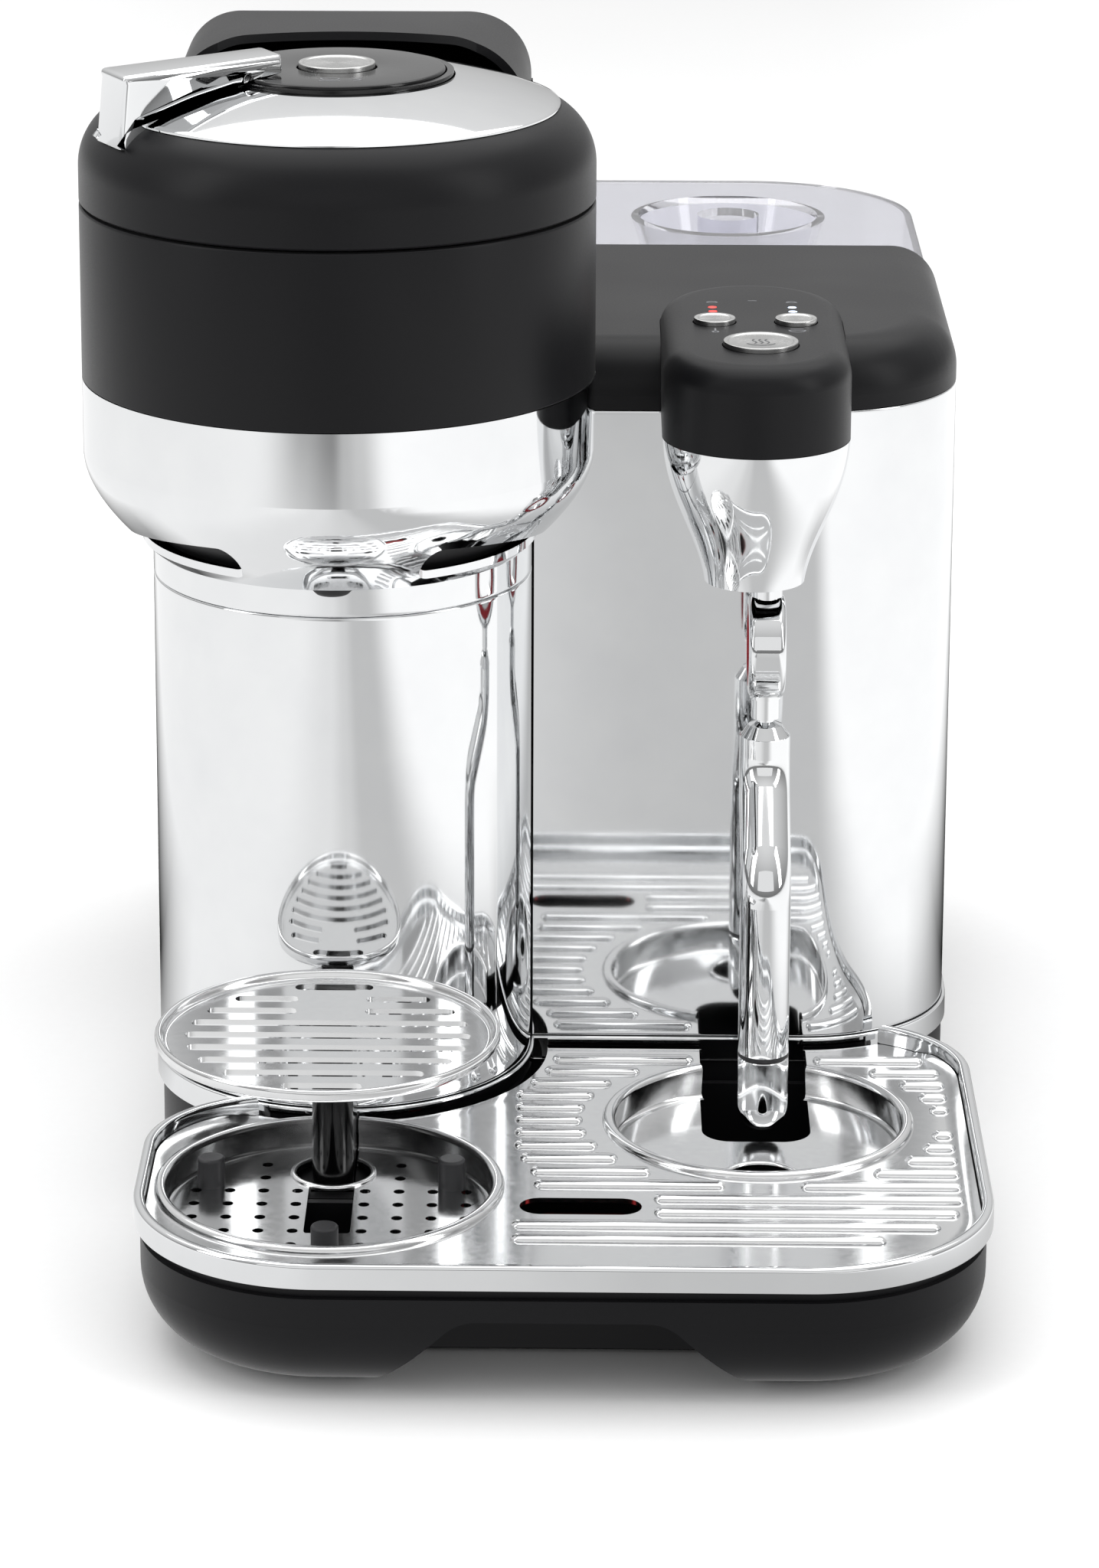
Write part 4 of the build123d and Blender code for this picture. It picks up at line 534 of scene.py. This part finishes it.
seal = eased([(5.5, 49.5), (6.95, 49.5), (6.95, 50.7), (5.5, 50.7)], 0.25)
piece("wand_seal", None, [turned(seal, 63.5, -87.0, columns=96)], FINISHES["rubber"], "rubber", "wand")
tip_profile = np.vstack([[(0.8, 29.2), (0.8, 49.4), (6.4, 49.4), (6.9, 48.9)],
                         bezier([(6.9, 36.0), (6.9, 31.0), (4.6, 28.3), (0.8, 28.3)], 24)])
piece("wand_tip_skin", "wand_tip", [turned(tip_profile, 63.5, -87.0, columns=128)])

# %% [markdown]
# ## Tray rail
# The bright rail is bent bar with a rounded top. It follows the tray's outline from the right tip, round the
# front, to the left tip, and ends where the tray meets the column and the body.

# %% Tray outline
TRAY_LEFT, TRAY_RIGHT, TRAY_FRONT, TRAY_BACK = -102.6, 121.3, -209.0, -39.6
TRAY_CORNER, TRAY_REAR, COVE, BODY_COVE = 50.0, 36.0, 53.5, 43.6


def meeting_bearing(cx, cy, radius, other_x, other_y, other_r, side):
    """Bearing, seen from the first circle, of the point where two circles cross: the bearing of the other centre,
    turned by the angle that the cosine rule gives."""
    dx, dy = other_x - cx, other_y - cy
    distance = math.hypot(dx, dy)
    turn = math.acos((radius ** 2 + distance ** 2 - other_r ** 2) / (2 * radius * distance))
    return math.degrees(math.atan2(dy, dx) + side * turn)


def rail_plan(inset):
    """Right tip, right side, front right corner, front, front left corner, left side, left tip."""
    right, left, front = TRAY_RIGHT - inset, TRAY_LEFT + inset, TRAY_FRONT + inset
    corner, rear = TRAY_CORNER - inset, TRAY_REAR - inset
    right_tip = meeting_bearing(85.3, -68.0, rear, 76.0, 4.0, BODY_COVE + 3, -1)
    left_tip = meeting_bearing(-66.6, -127.5, rear, COLUMN_X, COLUMN_Y, COVE + 3, 1) % 360
    return np.vstack([arc(85.3, -68.0, rear, right_tip, 0, 30),
                      arc(right - corner, front + corner, corner, 0, -90, 40),
                      arc(left + corner, front + corner, corner, 270, 180, 40),
                      arc(-66.6, -127.5, rear, 180, left_tip, 30)])


rail = eased([(0, 32.2), (0, 39.0), (3.0, 39.0), (3.0, 32.2)], (0.5, 1.4, 1.4, 0.3), 8)
piece("tray_rail", "tray_trim", [carried(rail, rail_plan, False)])

# %% [markdown]
# ## Sheet cut on a grid
# The drip cover is thin sheet with many cut-outs. A function gives each point's distance from the nearest
# cut, positive in the metal. Grid points just outside slide onto the cut, which makes smooth edges, and
# cells with no point in the metal are dropped. A copy below and a wall along every free edge give the sheet
# its thickness.

# %% Cut sheet
def cut_sheet(x_low, x_high, y_low, y_high, pitch, distance, height, thickness):
    """Vertices and faces of a sheet whose top is height(x, y), wherever distance(x, y) is positive."""
    x, y = np.meshgrid(np.arange(x_low, x_high + pitch, pitch), np.arange(y_low, y_high + pitch, pitch))
    d, tiny = distance(x, y), 0.01
    slope_x = (distance(x + tiny, y) - distance(x - tiny, y)) / (2 * tiny)
    slope_y = (distance(x, y + tiny) - distance(x, y - tiny)) / (2 * tiny)
    near = (d < 0) & (d > -1.5 * pitch)
    x, y = np.where(near, x - d * slope_x, x), np.where(near, y - d * slope_y, y)
    top = np.stack([x, y, height(x, y)], -1).reshape(-1, 3)
    faces = grid_faces(*x.shape, False, False)
    inside = (d > 0).ravel()
    faces = faces[inside[faces].any(1)]
    used, faces = np.unique(faces, return_inverse=True)
    top, faces = top[used], faces.reshape(-1, 4)
    count = len(top)
    start, end = faces.ravel(), np.roll(faces, -1, 1).ravel()
    free = ~np.isin(start * count + end, end * count + start)
    walls = np.stack([start[free], start[free] + count, end[free] + count, end[free]], 1)
    below = top - (0, 0, thickness)
    return np.vstack([top, below]), np.vstack([faces, faces[:, ::-1] + count, walls])


def sheet_piece(name, node_name, sheet, **extra):
    """Object from the vertices in mm and the faces of a cut sheet."""
    mesh = bpy.data.meshes.new(name)
    mesh.from_pydata(sheet[0] / 1000, [], sheet[1].tolist())
    settings = {"material": None, "slot": None, "body": None, "sharp": 38.0, **extra}
    return finish_piece(mesh, name, node_name, **settings)


# %% Distances in the drip cover
CUP_X, CUP_Y, MILK_X, MILK_Y = -52.3, -144.0, 62.0, -96.0
SHEET_Z, SHEET_THICK = 34.4, 1.2
WINDOW_X, WINDOW_Y = 14.0, -157.0


def box_outside(x, y, x_low, x_high, y_low, y_high, radius=0.0):
    """Distance to a box with rounded corners, positive outside: length of the positive part, less the radius."""
    dx = np.abs(x - (x_low + x_high) / 2) - (x_high - x_low) / 2 + radius
    dy = np.abs(y - (y_low + y_high) / 2) - (y_high - y_low) / 2 + radius
    return np.hypot(np.maximum(dx, 0), np.maximum(dy, 0)) + np.minimum(np.maximum(dx, dy), 0) - radius


def tray_inside(x, y, inset):
    """Distance to the tray's outline, positive inside: the least of the sides, the four corners and the coves."""
    sides = [x - TRAY_LEFT, TRAY_RIGHT - x, y - TRAY_FRONT,
             np.hypot(x - COLUMN_X, y - COLUMN_Y) - COVE,
             np.where(x > 76.0, np.hypot(x - 76.0, y - 4.0) - BODY_COVE, TRAY_BACK - y)]
    for cx, cy, radius, way_x, way_y in ((TRAY_LEFT + TRAY_CORNER, TRAY_FRONT + TRAY_CORNER, TRAY_CORNER, -1, -1),
                                         (TRAY_RIGHT - TRAY_CORNER, TRAY_FRONT + TRAY_CORNER, TRAY_CORNER, 1, -1),
                                         (85.3, -68.0, TRAY_REAR, 1, 1), (-66.6, -127.5, TRAY_REAR, -1, 1)):
        beyond = (way_x * (x - cx) > 0) & (way_y * (y - cy) > 0)
        sides.append(np.where(beyond, radius - np.hypot(x - cx, y - cy), 999))
    return np.minimum.reduce(sides) - inset


def slots_outside(x, y):
    """Distance to the post's slot and the wand's notch, both open to the back."""
    return np.minimum(box_outside(x, y, CUP_X - 6.1, CUP_X + 6.1, -140.0, -40.0),
                      box_outside(x, y, MILK_X - 14.9, MILK_X + 14.9, -92.0, 0.0, 8.0))


CUP_LIP, MILK_LIP = 45.6, 41.6


def deck_distance(x, y):
    """Metal of the ribbed deck: inside the rail, outside both recesses, the slots and the float's window."""
    return np.minimum.reduce([tray_inside(x, y, 3.3), slots_outside(x, y),
                              np.hypot(x - CUP_X, y - CUP_Y) - CUP_LIP,
                              np.hypot(x - MILK_X, y - MILK_Y) - MILK_LIP,
                              np.hypot(np.maximum(np.abs(x - WINDOW_X) - 10.5, 0), y - WINDOW_Y) - 5.5])


def deck_height(x, y):
    """Flat, with a flange that rises 1.3 mm towards the rail over its last 5 mm."""
    rise = np.clip(1 - (tray_inside(x, y, 3.3)) / 5.0, 0, 1)
    back = np.clip((np.minimum(np.hypot(x - COLUMN_X, y - COLUMN_Y) - COVE, TRAY_BACK - y) - 4) / 6, 0, 1)
    return SHEET_Z - 0.5 + 1.3 * rise ** 2 * back


sheet_piece("drip_deck", "drip_cover",
            cut_sheet(-102, 121, -208, -38, 1.35, deck_distance, deck_height, SHEET_THICK))

# %% Floors of the two recesses
hole_rows = [(-113.6, (-2, 2)), (-122.6, (-2, 2)), (-131.6, (-4, -3, -2, -1, 1, 2, 3, 4)),
             (-140.6, range(-4, 5)), (-149.6, range(-4, 5)), (-158.6, range(-3, 4)), (-167.6, range(-2, 3))]
HOLES = np.array([(CUP_X + 9.0 * column, y) for y, columns in hole_rows for column in columns])


def cup_floor_distance(x, y):
    """Inside the floor's edge, outside the keyhole, the slot and every round hole."""
    nearest = np.min(np.hypot(x[..., None] - HOLES[:, 0], y[..., None] - HOLES[:, 1]), axis=-1) - 1.5
    return np.minimum.reduce([42.2 - np.hypot(x - CUP_X, y - CUP_Y), nearest, slots_outside(x, y + 20.0),
                              np.hypot(x - CUP_X, y + 119.0) - 10.0])


def milk_floor_distance(x, y):
    """Inside the floor's edge, outside the drain hole and the wand's notch."""
    return np.minimum.reduce([38.2 - np.hypot(x - MILK_X, y - MILK_Y), np.hypot(x - 62.5, y + 118.0) - 9.5,
                              slots_outside(x, y)])


cup_floor = cut_sheet(-95.1, -9.5, -186.8, -101.2, 0.62, cup_floor_distance,
                      lambda x, y: 27.0 + 0 * x, SHEET_THICK)
milk_floor = cut_sheet(23.2, 100.8, -134.8, -57.2, 0.9, milk_floor_distance,
                       lambda x, y: 26.0 + 0 * x, SHEET_THICK)
sheet_piece("glass_recess_floor", "drip_cover", cup_floor)
sheet_piece("milk_recess_floor", "drip_cover", milk_floor)

# %% [markdown]
# ## Recess walls, lips and ribs
# Each recess has a sloping wall and a rolled lip, and both stop where a slot runs out to the back. The ribs
# are long, low pillows with round ends, pressed up from the sheet.

# %% Walls and lips
def wall_profile(floor_r, floor_z, lip_r):
    """Section of wall and lip: up the slope, over a bead 1.5 mm high, and back down on the underside."""
    bead = arc(lip_r + 0.3, SHEET_Z - 0.6, 1.8, 170, 10, 14)
    return np.vstack([[(floor_r - 0.6, floor_z), (floor_r + 0.5, floor_z + 0.15), (floor_r + 1.3, floor_z + 1.2)],
                      bead,
                      [(lip_r + 2.0, SHEET_Z - 1.4), (lip_r + 0.5, SHEET_Z - 1.7), (floor_r + 1.0, floor_z - 1.1),
                       (floor_r - 0.6, floor_z - 1.2)]])


cup_gap = math.degrees(math.asin(6.1 / 44.0))
milk_gap = math.degrees(math.asin(14.9 / 40.5))
piece("glass_recess_wall", "drip_cover",
      [turned(wall_profile(42.2, 27.0, 44.2), CUP_X, CUP_Y, 90 + cup_gap, 450 - cup_gap, 181)], sharp=60)
piece("milk_recess_wall", "drip_cover",
      [turned(wall_profile(38.2, 26.0, 40.2), MILK_X, MILK_Y, 90 + milk_gap, 450 - milk_gap, 181)], sharp=60)


def bead(radius, x, y, floor_z, first=0.0, last=360.0):
    """Rolled edge of a hole: a small half-round ring that stands on the floor."""
    section = np.vstack([arc(radius + 0.7, floor_z, 0.9, 180, 0, 12), [(radius + 1.5, floor_z - 0.6),
                                                                     (radius, floor_z - 0.6)]])
    return turned(section, x, y, first, last, 97)


key_gap = math.degrees(math.asin(6.1 / 10.0))
piece("rolled_hole_edges", "drip_cover", [bead(9.5, 62.5, -118.0, 26.0),
                                          bead(10.0, CUP_X, -119.0, 27.0, 90 + key_gap, 450 - key_gap)], sharp=60)

# %% Ribs
RIB_PITCH, RIB_WIDTH, RIB_HEIGHT = 9.1, 4.6, 1.5


def rib_stretches(y):
    """Start and end of the ribs in one row: clear of the column, both recesses, the corners and the window."""
    half, left, right = RIB_WIDTH / 2, -4.0, TRAY_RIGHT - 6.7
    for centre_y, radius in ((COLUMN_Y, COVE + 3), (CUP_Y, 51.5)):
        across = abs(y - centre_y)
        if across < radius:
            left = max(left, CUP_X + math.sqrt(radius ** 2 - across ** 2) + half)
    if y < -150:
        right += -30 + math.sqrt(900 - (-150 - y) ** 2)
    if y > -68:
        right += -29.3 + math.sqrt(29.3 ** 2 - (y + 68) ** 2)
    if abs(y - WINDOW_Y) < 8:
        left = WINDOW_X + 19
    across = abs(y - MILK_Y)
    if across >= 47.5:
        return [(left, right)]
    reach = math.sqrt(47.5 ** 2 - across ** 2)
    return [s for s in ((left, MILK_X - reach), (MILK_X + reach, right)) if s[1] - s[0] > RIB_WIDTH + 1]


def rib(start, end, y):
    """Pillow on a slot outline: the outline at each inset w is lifted to the height h (1 - (1 - w/r)^2)^0.5."""
    r = RIB_WIDTH / 2
    inset = r * np.array([0.0, 0.02, 0.08, 0.2, 0.36, 0.55, 0.78, 0.999])
    lift = RIB_HEIGHT * np.sqrt(1 - (1 - inset / r) ** 2)
    plans = [np.vstack([arc(end - r, y, r - w, -90, 90, 13),
                        arc(start + r, y, r - w, 90, 270, 13)]) for w in inset]
    grid = np.stack([np.column_stack([p, np.full(len(p), SHEET_Z - 0.55 + h)]) for p, h in zip(plans, lift)])
    return (grid, False, True, "rows")


ribs = [rib(start, end, y) for y in -51.5 - RIB_PITCH * np.arange(15) for start, end in rib_stretches(y)]
piece("drip_ribs", "drip_cover", ribs, sharp=60)

# %% [markdown]
# ## Raised cup support
# The support is a pressed disc with drain slots and a rolled rim. The middle is a cut sheet, and the rim is
# turned.

# %% Disc and rim
SLOT_ROWS = []
for row in range(-4, 5):
    half_length, side_y = math.sqrt(37.5 ** 2 - (9.0 * row) ** 2), CUP_Y + 9.0 * row
    if 14 < 9.0 * row < 30:
        SLOT_ROWS += [(CUP_X - half_length, CUP_X - 9.0, side_y), (CUP_X + 9.0, CUP_X + half_length, side_y)]
    else:
        SLOT_ROWS.append((CUP_X - half_length, CUP_X + half_length, side_y))
SLOT_ROWS = np.array(SLOT_ROWS)


def plate_distance(x, y):
    """Inside the rim and outside every slot, each a line grown by 2.25 mm."""
    start, end, row_y = SLOT_ROWS.T
    middle, half = (start + end) / 2, (end - start) / 2 - 2.25
    beyond = np.maximum(np.abs(x[..., None] - middle) - half, 0)
    return np.minimum(np.min(np.hypot(beyond, y[..., None] - row_y), axis=-1) - 2.25,
                      42.4 - np.hypot(x - CUP_X, y - CUP_Y))


plate = cut_sheet(CUP_X - 43.0, CUP_X + 43.0, CUP_Y - 43.0, CUP_Y + 43.0, 0.75, plate_distance,
                  lambda x, y: 75.8 + 0 * x, 1.4)
sheet_piece("cup_plate", "cup_disc", plate)
rim = np.vstack([[(42.0, 75.8), (42.6, 75.9)],
                 bezier([(43.0, 76.4), (43.2, 78.2), (45.2, 78.6), (45.2, 76.6)], 16),
                 [(45.15, 75.8)], bezier([(44.9, 75.0), (44.4, 74.5), (43.4, 74.4), (42.0, 74.4)], 8)])
piece("cup_plate_rim", "cup_disc", [turned(rim, CUP_X, CUP_Y)], sharp=60)

# %% Post
def post_plan(inset):
    """Blade of the post seen from above: straight sides, round front and eased back."""
    half, front, back = 5.5 - inset, -127.0 + inset, -97.2 - inset
    return np.vstack([arc(CUP_X, front + half, half, 180, 360, 25),
                      arc(CUP_X + half - 0.8, back - 0.8, 0.8, 0, 90, 6),
                      arc(CUP_X - half + 0.8, back - 0.8, 0.8, 90, 180, 6)])


post = [(0.5, 13.2), (0.1, 13.5), (0, 14), (0, 74.0), (0.4, 74.38)]
post_grid = np.stack([np.column_stack([post_plan(w), np.full(37, z)]) for w, z in post])
piece("cup_post_blade", "cup_post", [(post_grid, False, True, "rows")])

# %% [markdown]
# ## Floor, light and camera
# The machine stands on a pale floor in a white room, as in a studio. Chrome shows only what is round it,
# and its upright walls show the floor, so the floor carries a graded mat that only mirrors see.

# %% Floor and surroundings
def stage_panel(name, corners, material, mirror_only=False):
    """Flat panel through four corners in metres, part of the studio. A mirror-only panel shows in gloss alone."""
    mesh = bpy.data.meshes.new(name)
    mesh.from_pydata(corners, [], [(0, 1, 2, 3)])
    panel = bpy.data.objects.new(name, mesh)
    bpy.context.scene.collection.objects.link(panel)
    mesh.materials.append(material)
    if mirror_only:
        panel.visible_camera = panel.visible_diffuse = panel.visible_shadow = panel.visible_transmission = False
    return panel


def card(name, brightness):
    """Card that gives an even light of the given strength, as a lit or a shaded sheet of card does."""
    material = bpy.data.materials.new(name)
    material.use_nodes = True
    shader = material.node_tree.nodes["Principled BSDF"]
    shader.inputs["Base Color"].default_value = linear("#000000")
    shader.inputs["Emission Color"].default_value = linear("#ffffff")
    shader.inputs["Emission Strength"].default_value = brightness
    shader.inputs["Specular IOR Level"].default_value = 0.0
    return material


paper = grained("matt_white_paper", "#f4f4f4", "#f9f9f9", (0.85, 0.95), 3.0, 0.01, 300)
stage_panel("floor", [(-5, -5, 0), (5, -5, 0), (5, 5, 0), (-5, 5, 0)], paper)

world = bpy.data.worlds.new("studio")
bpy.context.scene.world = world
world.use_nodes = True
sky = world.node_tree
direction = add_node(sky, "ShaderNodeTexCoord")
split = add_node(sky, "ShaderNodeSeparateXYZ", {"Vector": (direction, "Generated")})
upper = add_node(sky, "ShaderNodeMapRange", {"Value": (split, "Z"), "From Min": 0.0, "From Max": 0.9,
                                             "To Min": 0.22, "To Max": 0.85})
rear = add_node(sky, "ShaderNodeMapRange", {"Value": (split, "Y"), "From Min": -0.2, "From Max": 1.0,
                                            "To Min": 0.0, "To Max": 0.3})
total = add_node(sky, "ShaderNodeMath", {0: (upper, "Result"), 1: (rear, "Result")}, operation="ADD")
sky.links.new(total.outputs["Value"], sky.nodes["Background"].inputs["Color"])

# %% Lamps
def panel_light(name, place, target, width, height, power):
    """Rectangular area light in metres, turned so that it faces its target."""
    data = bpy.data.lights.new(name, "AREA")
    data.shape, data.size, data.size_y, data.energy = "RECTANGLE", width, height, power
    lamp = bpy.data.objects.new(name, data)
    bpy.context.scene.collection.objects.link(lamp)
    lamp.location = place
    lamp.rotation_mode = "QUATERNION"
    lamp.rotation_quaternion = Vector(np.array(target) - np.array(place)).to_track_quat("-Z", "Y")
    lamp.visible_camera = False
    return lamp


centre = (0.0, -0.03, 0.15)
panel_light("overhead_softbox", (0.0, 0.35, 1.9), centre, 2.6, 2.2, 30)
panel_light("left_softbox", (-1.4, -0.7, 0.9), centre, 0.5, 1.4, 6)
panel_light("right_softbox", (1.4, -0.6, 0.8), centre, 0.4, 1.3, 5.5)

# %% [markdown]
# ## What the mirrors see
# Two sheets that show in gloss alone shade the metal. The mat on the floor greys the middle of each upright
# wall and darkens its edges. The glow in front brightens the tray, which sees it by way of the walls
# behind.

# %% Mat and glow
MAT_REACH, MAT_LIFT = 2.0, 0.001


def shade_ramp(tree, along, stops):
    """Colour ramp over x, from one edge of the mat to the other, with a grey value at each stop (x, value)."""
    ramp = add_node(tree, "ShaderNodeValToRGB", {"Fac": (along, "Result")})
    ramp.color_ramp.interpolation = "EASE"
    elements = ramp.color_ramp.elements
    while len(elements) < len(stops):
        elements.new(0.5)
    for element, (x, value) in zip(elements, stops):
        element.position, element.color = (x + MAT_REACH) / (2 * MAT_REACH), (value, value, value, 1)
    return ramp


def graded_mat():
    """Light that varies across the mat. Upright mirrors show the floor in front of them, so a soft shade in front of
    the body greys its flat front, and a deeper one further out greys the middle of the bowl above. Close beside and
    behind the machine the mat is dimmed, a painted shade for the floor's shade there, which draws the thin dark
    line down each bright edge."""
    material = card("graded_mat", 1.0)
    tree = material.node_tree
    place = add_node(tree, "ShaderNodeTexCoord")
    split_xy = add_node(tree, "ShaderNodeSeparateXYZ", {"Vector": (place, "Object")})
    along = add_node(tree, "ShaderNodeMapRange", {"Value": (split_xy, "X"), "From Min": -MAT_REACH,
                                                 "From Max": MAT_REACH})
    near = shade_ramp(tree, along, ((-2.0, 1.0), (-0.3, 1.08), (-0.1, 0.95), (-0.02, 0.8),
                                    (0.04, 0.66), (0.13, 0.66),
                                    (0.3, 1.25), (2.0, 1.1)))
    far = shade_ramp(tree, along, ((-2.0, 1.0), (-0.6, 1.08), (-0.25, 0.5), (-0.06, 0.32),
                                   (0.03, 0.6), (0.13, 0.72),
                                   (0.36, 1.25), (2.0, 1.1)))
    away = add_node(tree, "ShaderNodeMapRange", {"Value": (split_xy, "Y"), "From Min": -0.7, "From Max": -1.0})
    mixed = add_node(tree, "ShaderNodeMix", {"Factor": (away, "Result"),
                                             "A": (near, "Color"), "B": (far, "Color")})
    # Painted shade: the mat is dimmed close behind and beside the machine, where the floor lies in shade.
    behind = add_node(tree, "ShaderNodeMapRange", {"Value": (split_xy, "Y"), "From Min": -0.02, "From Max": 0.12})
    aside = add_node(tree, "ShaderNodeMath", {0: (split_xy, "X")}, operation="ABSOLUTE")
    beside = add_node(tree, "ShaderNodeMapRange", {"Value": (aside, "Value"), "From Min": 0.16, "From Max": 0.36,
                                                   "To Min": 0.96, "To Max": 0.0})
    painted_floor_shade = add_node(tree, "ShaderNodeMath", {0: (behind, "Result"), 1: (beside, "Result")},
                     operation="MULTIPLY")
    clear = add_node(tree, "ShaderNodeMath", {0: 1.0, 1: (painted_floor_shade, "Value")}, operation="SUBTRACT")
    strength = add_node(tree, "ShaderNodeMath", {0: (mixed, "Result"), 1: (clear, "Value")},
                        operation="MULTIPLY")
    tree.links.new(strength.outputs["Value"], tree.nodes["Principled BSDF"].inputs["Emission Strength"])
    return material


MAT_DEPTH = 3.0
mat_corners = [(-MAT_REACH, -MAT_DEPTH, MAT_LIFT), (MAT_REACH, -MAT_DEPTH, MAT_LIFT),
               (MAT_REACH, MAT_DEPTH, MAT_LIFT), (-MAT_REACH, MAT_DEPTH, MAT_LIFT)]
stage_panel("graded_mat", mat_corners, graded_mat(), True)
stage_panel("front_glow", [(-1.6, -2.2, 0.35), (1.6, -2.2, 0.35), (1.6, -2.2, 1.6), (-1.6, -2.2, 1.6)],
            card("front_glow", 0.95), True)

# %% Camera
camera_data = bpy.data.cameras.new("camera")
CAMERA_PITCH, CAMERA_YAW = math.radians(15), math.radians(1.236)
camera_data.lens, camera_data.sensor_width = 122.6, 36.0
camera_data.shift_x, camera_data.shift_y = 0.0495, -0.192
camera = bpy.data.objects.new("camera", camera_data)
bpy.context.scene.collection.objects.link(camera)
camera.location = (0.0136, -1.4543, 0.5768)
camera.rotation_euler = (math.pi / 2 - CAMERA_PITCH, 0, CAMERA_YAW)
bpy.context.scene.camera = camera
bpy.context.scene.view_settings.view_transform = "Standard"
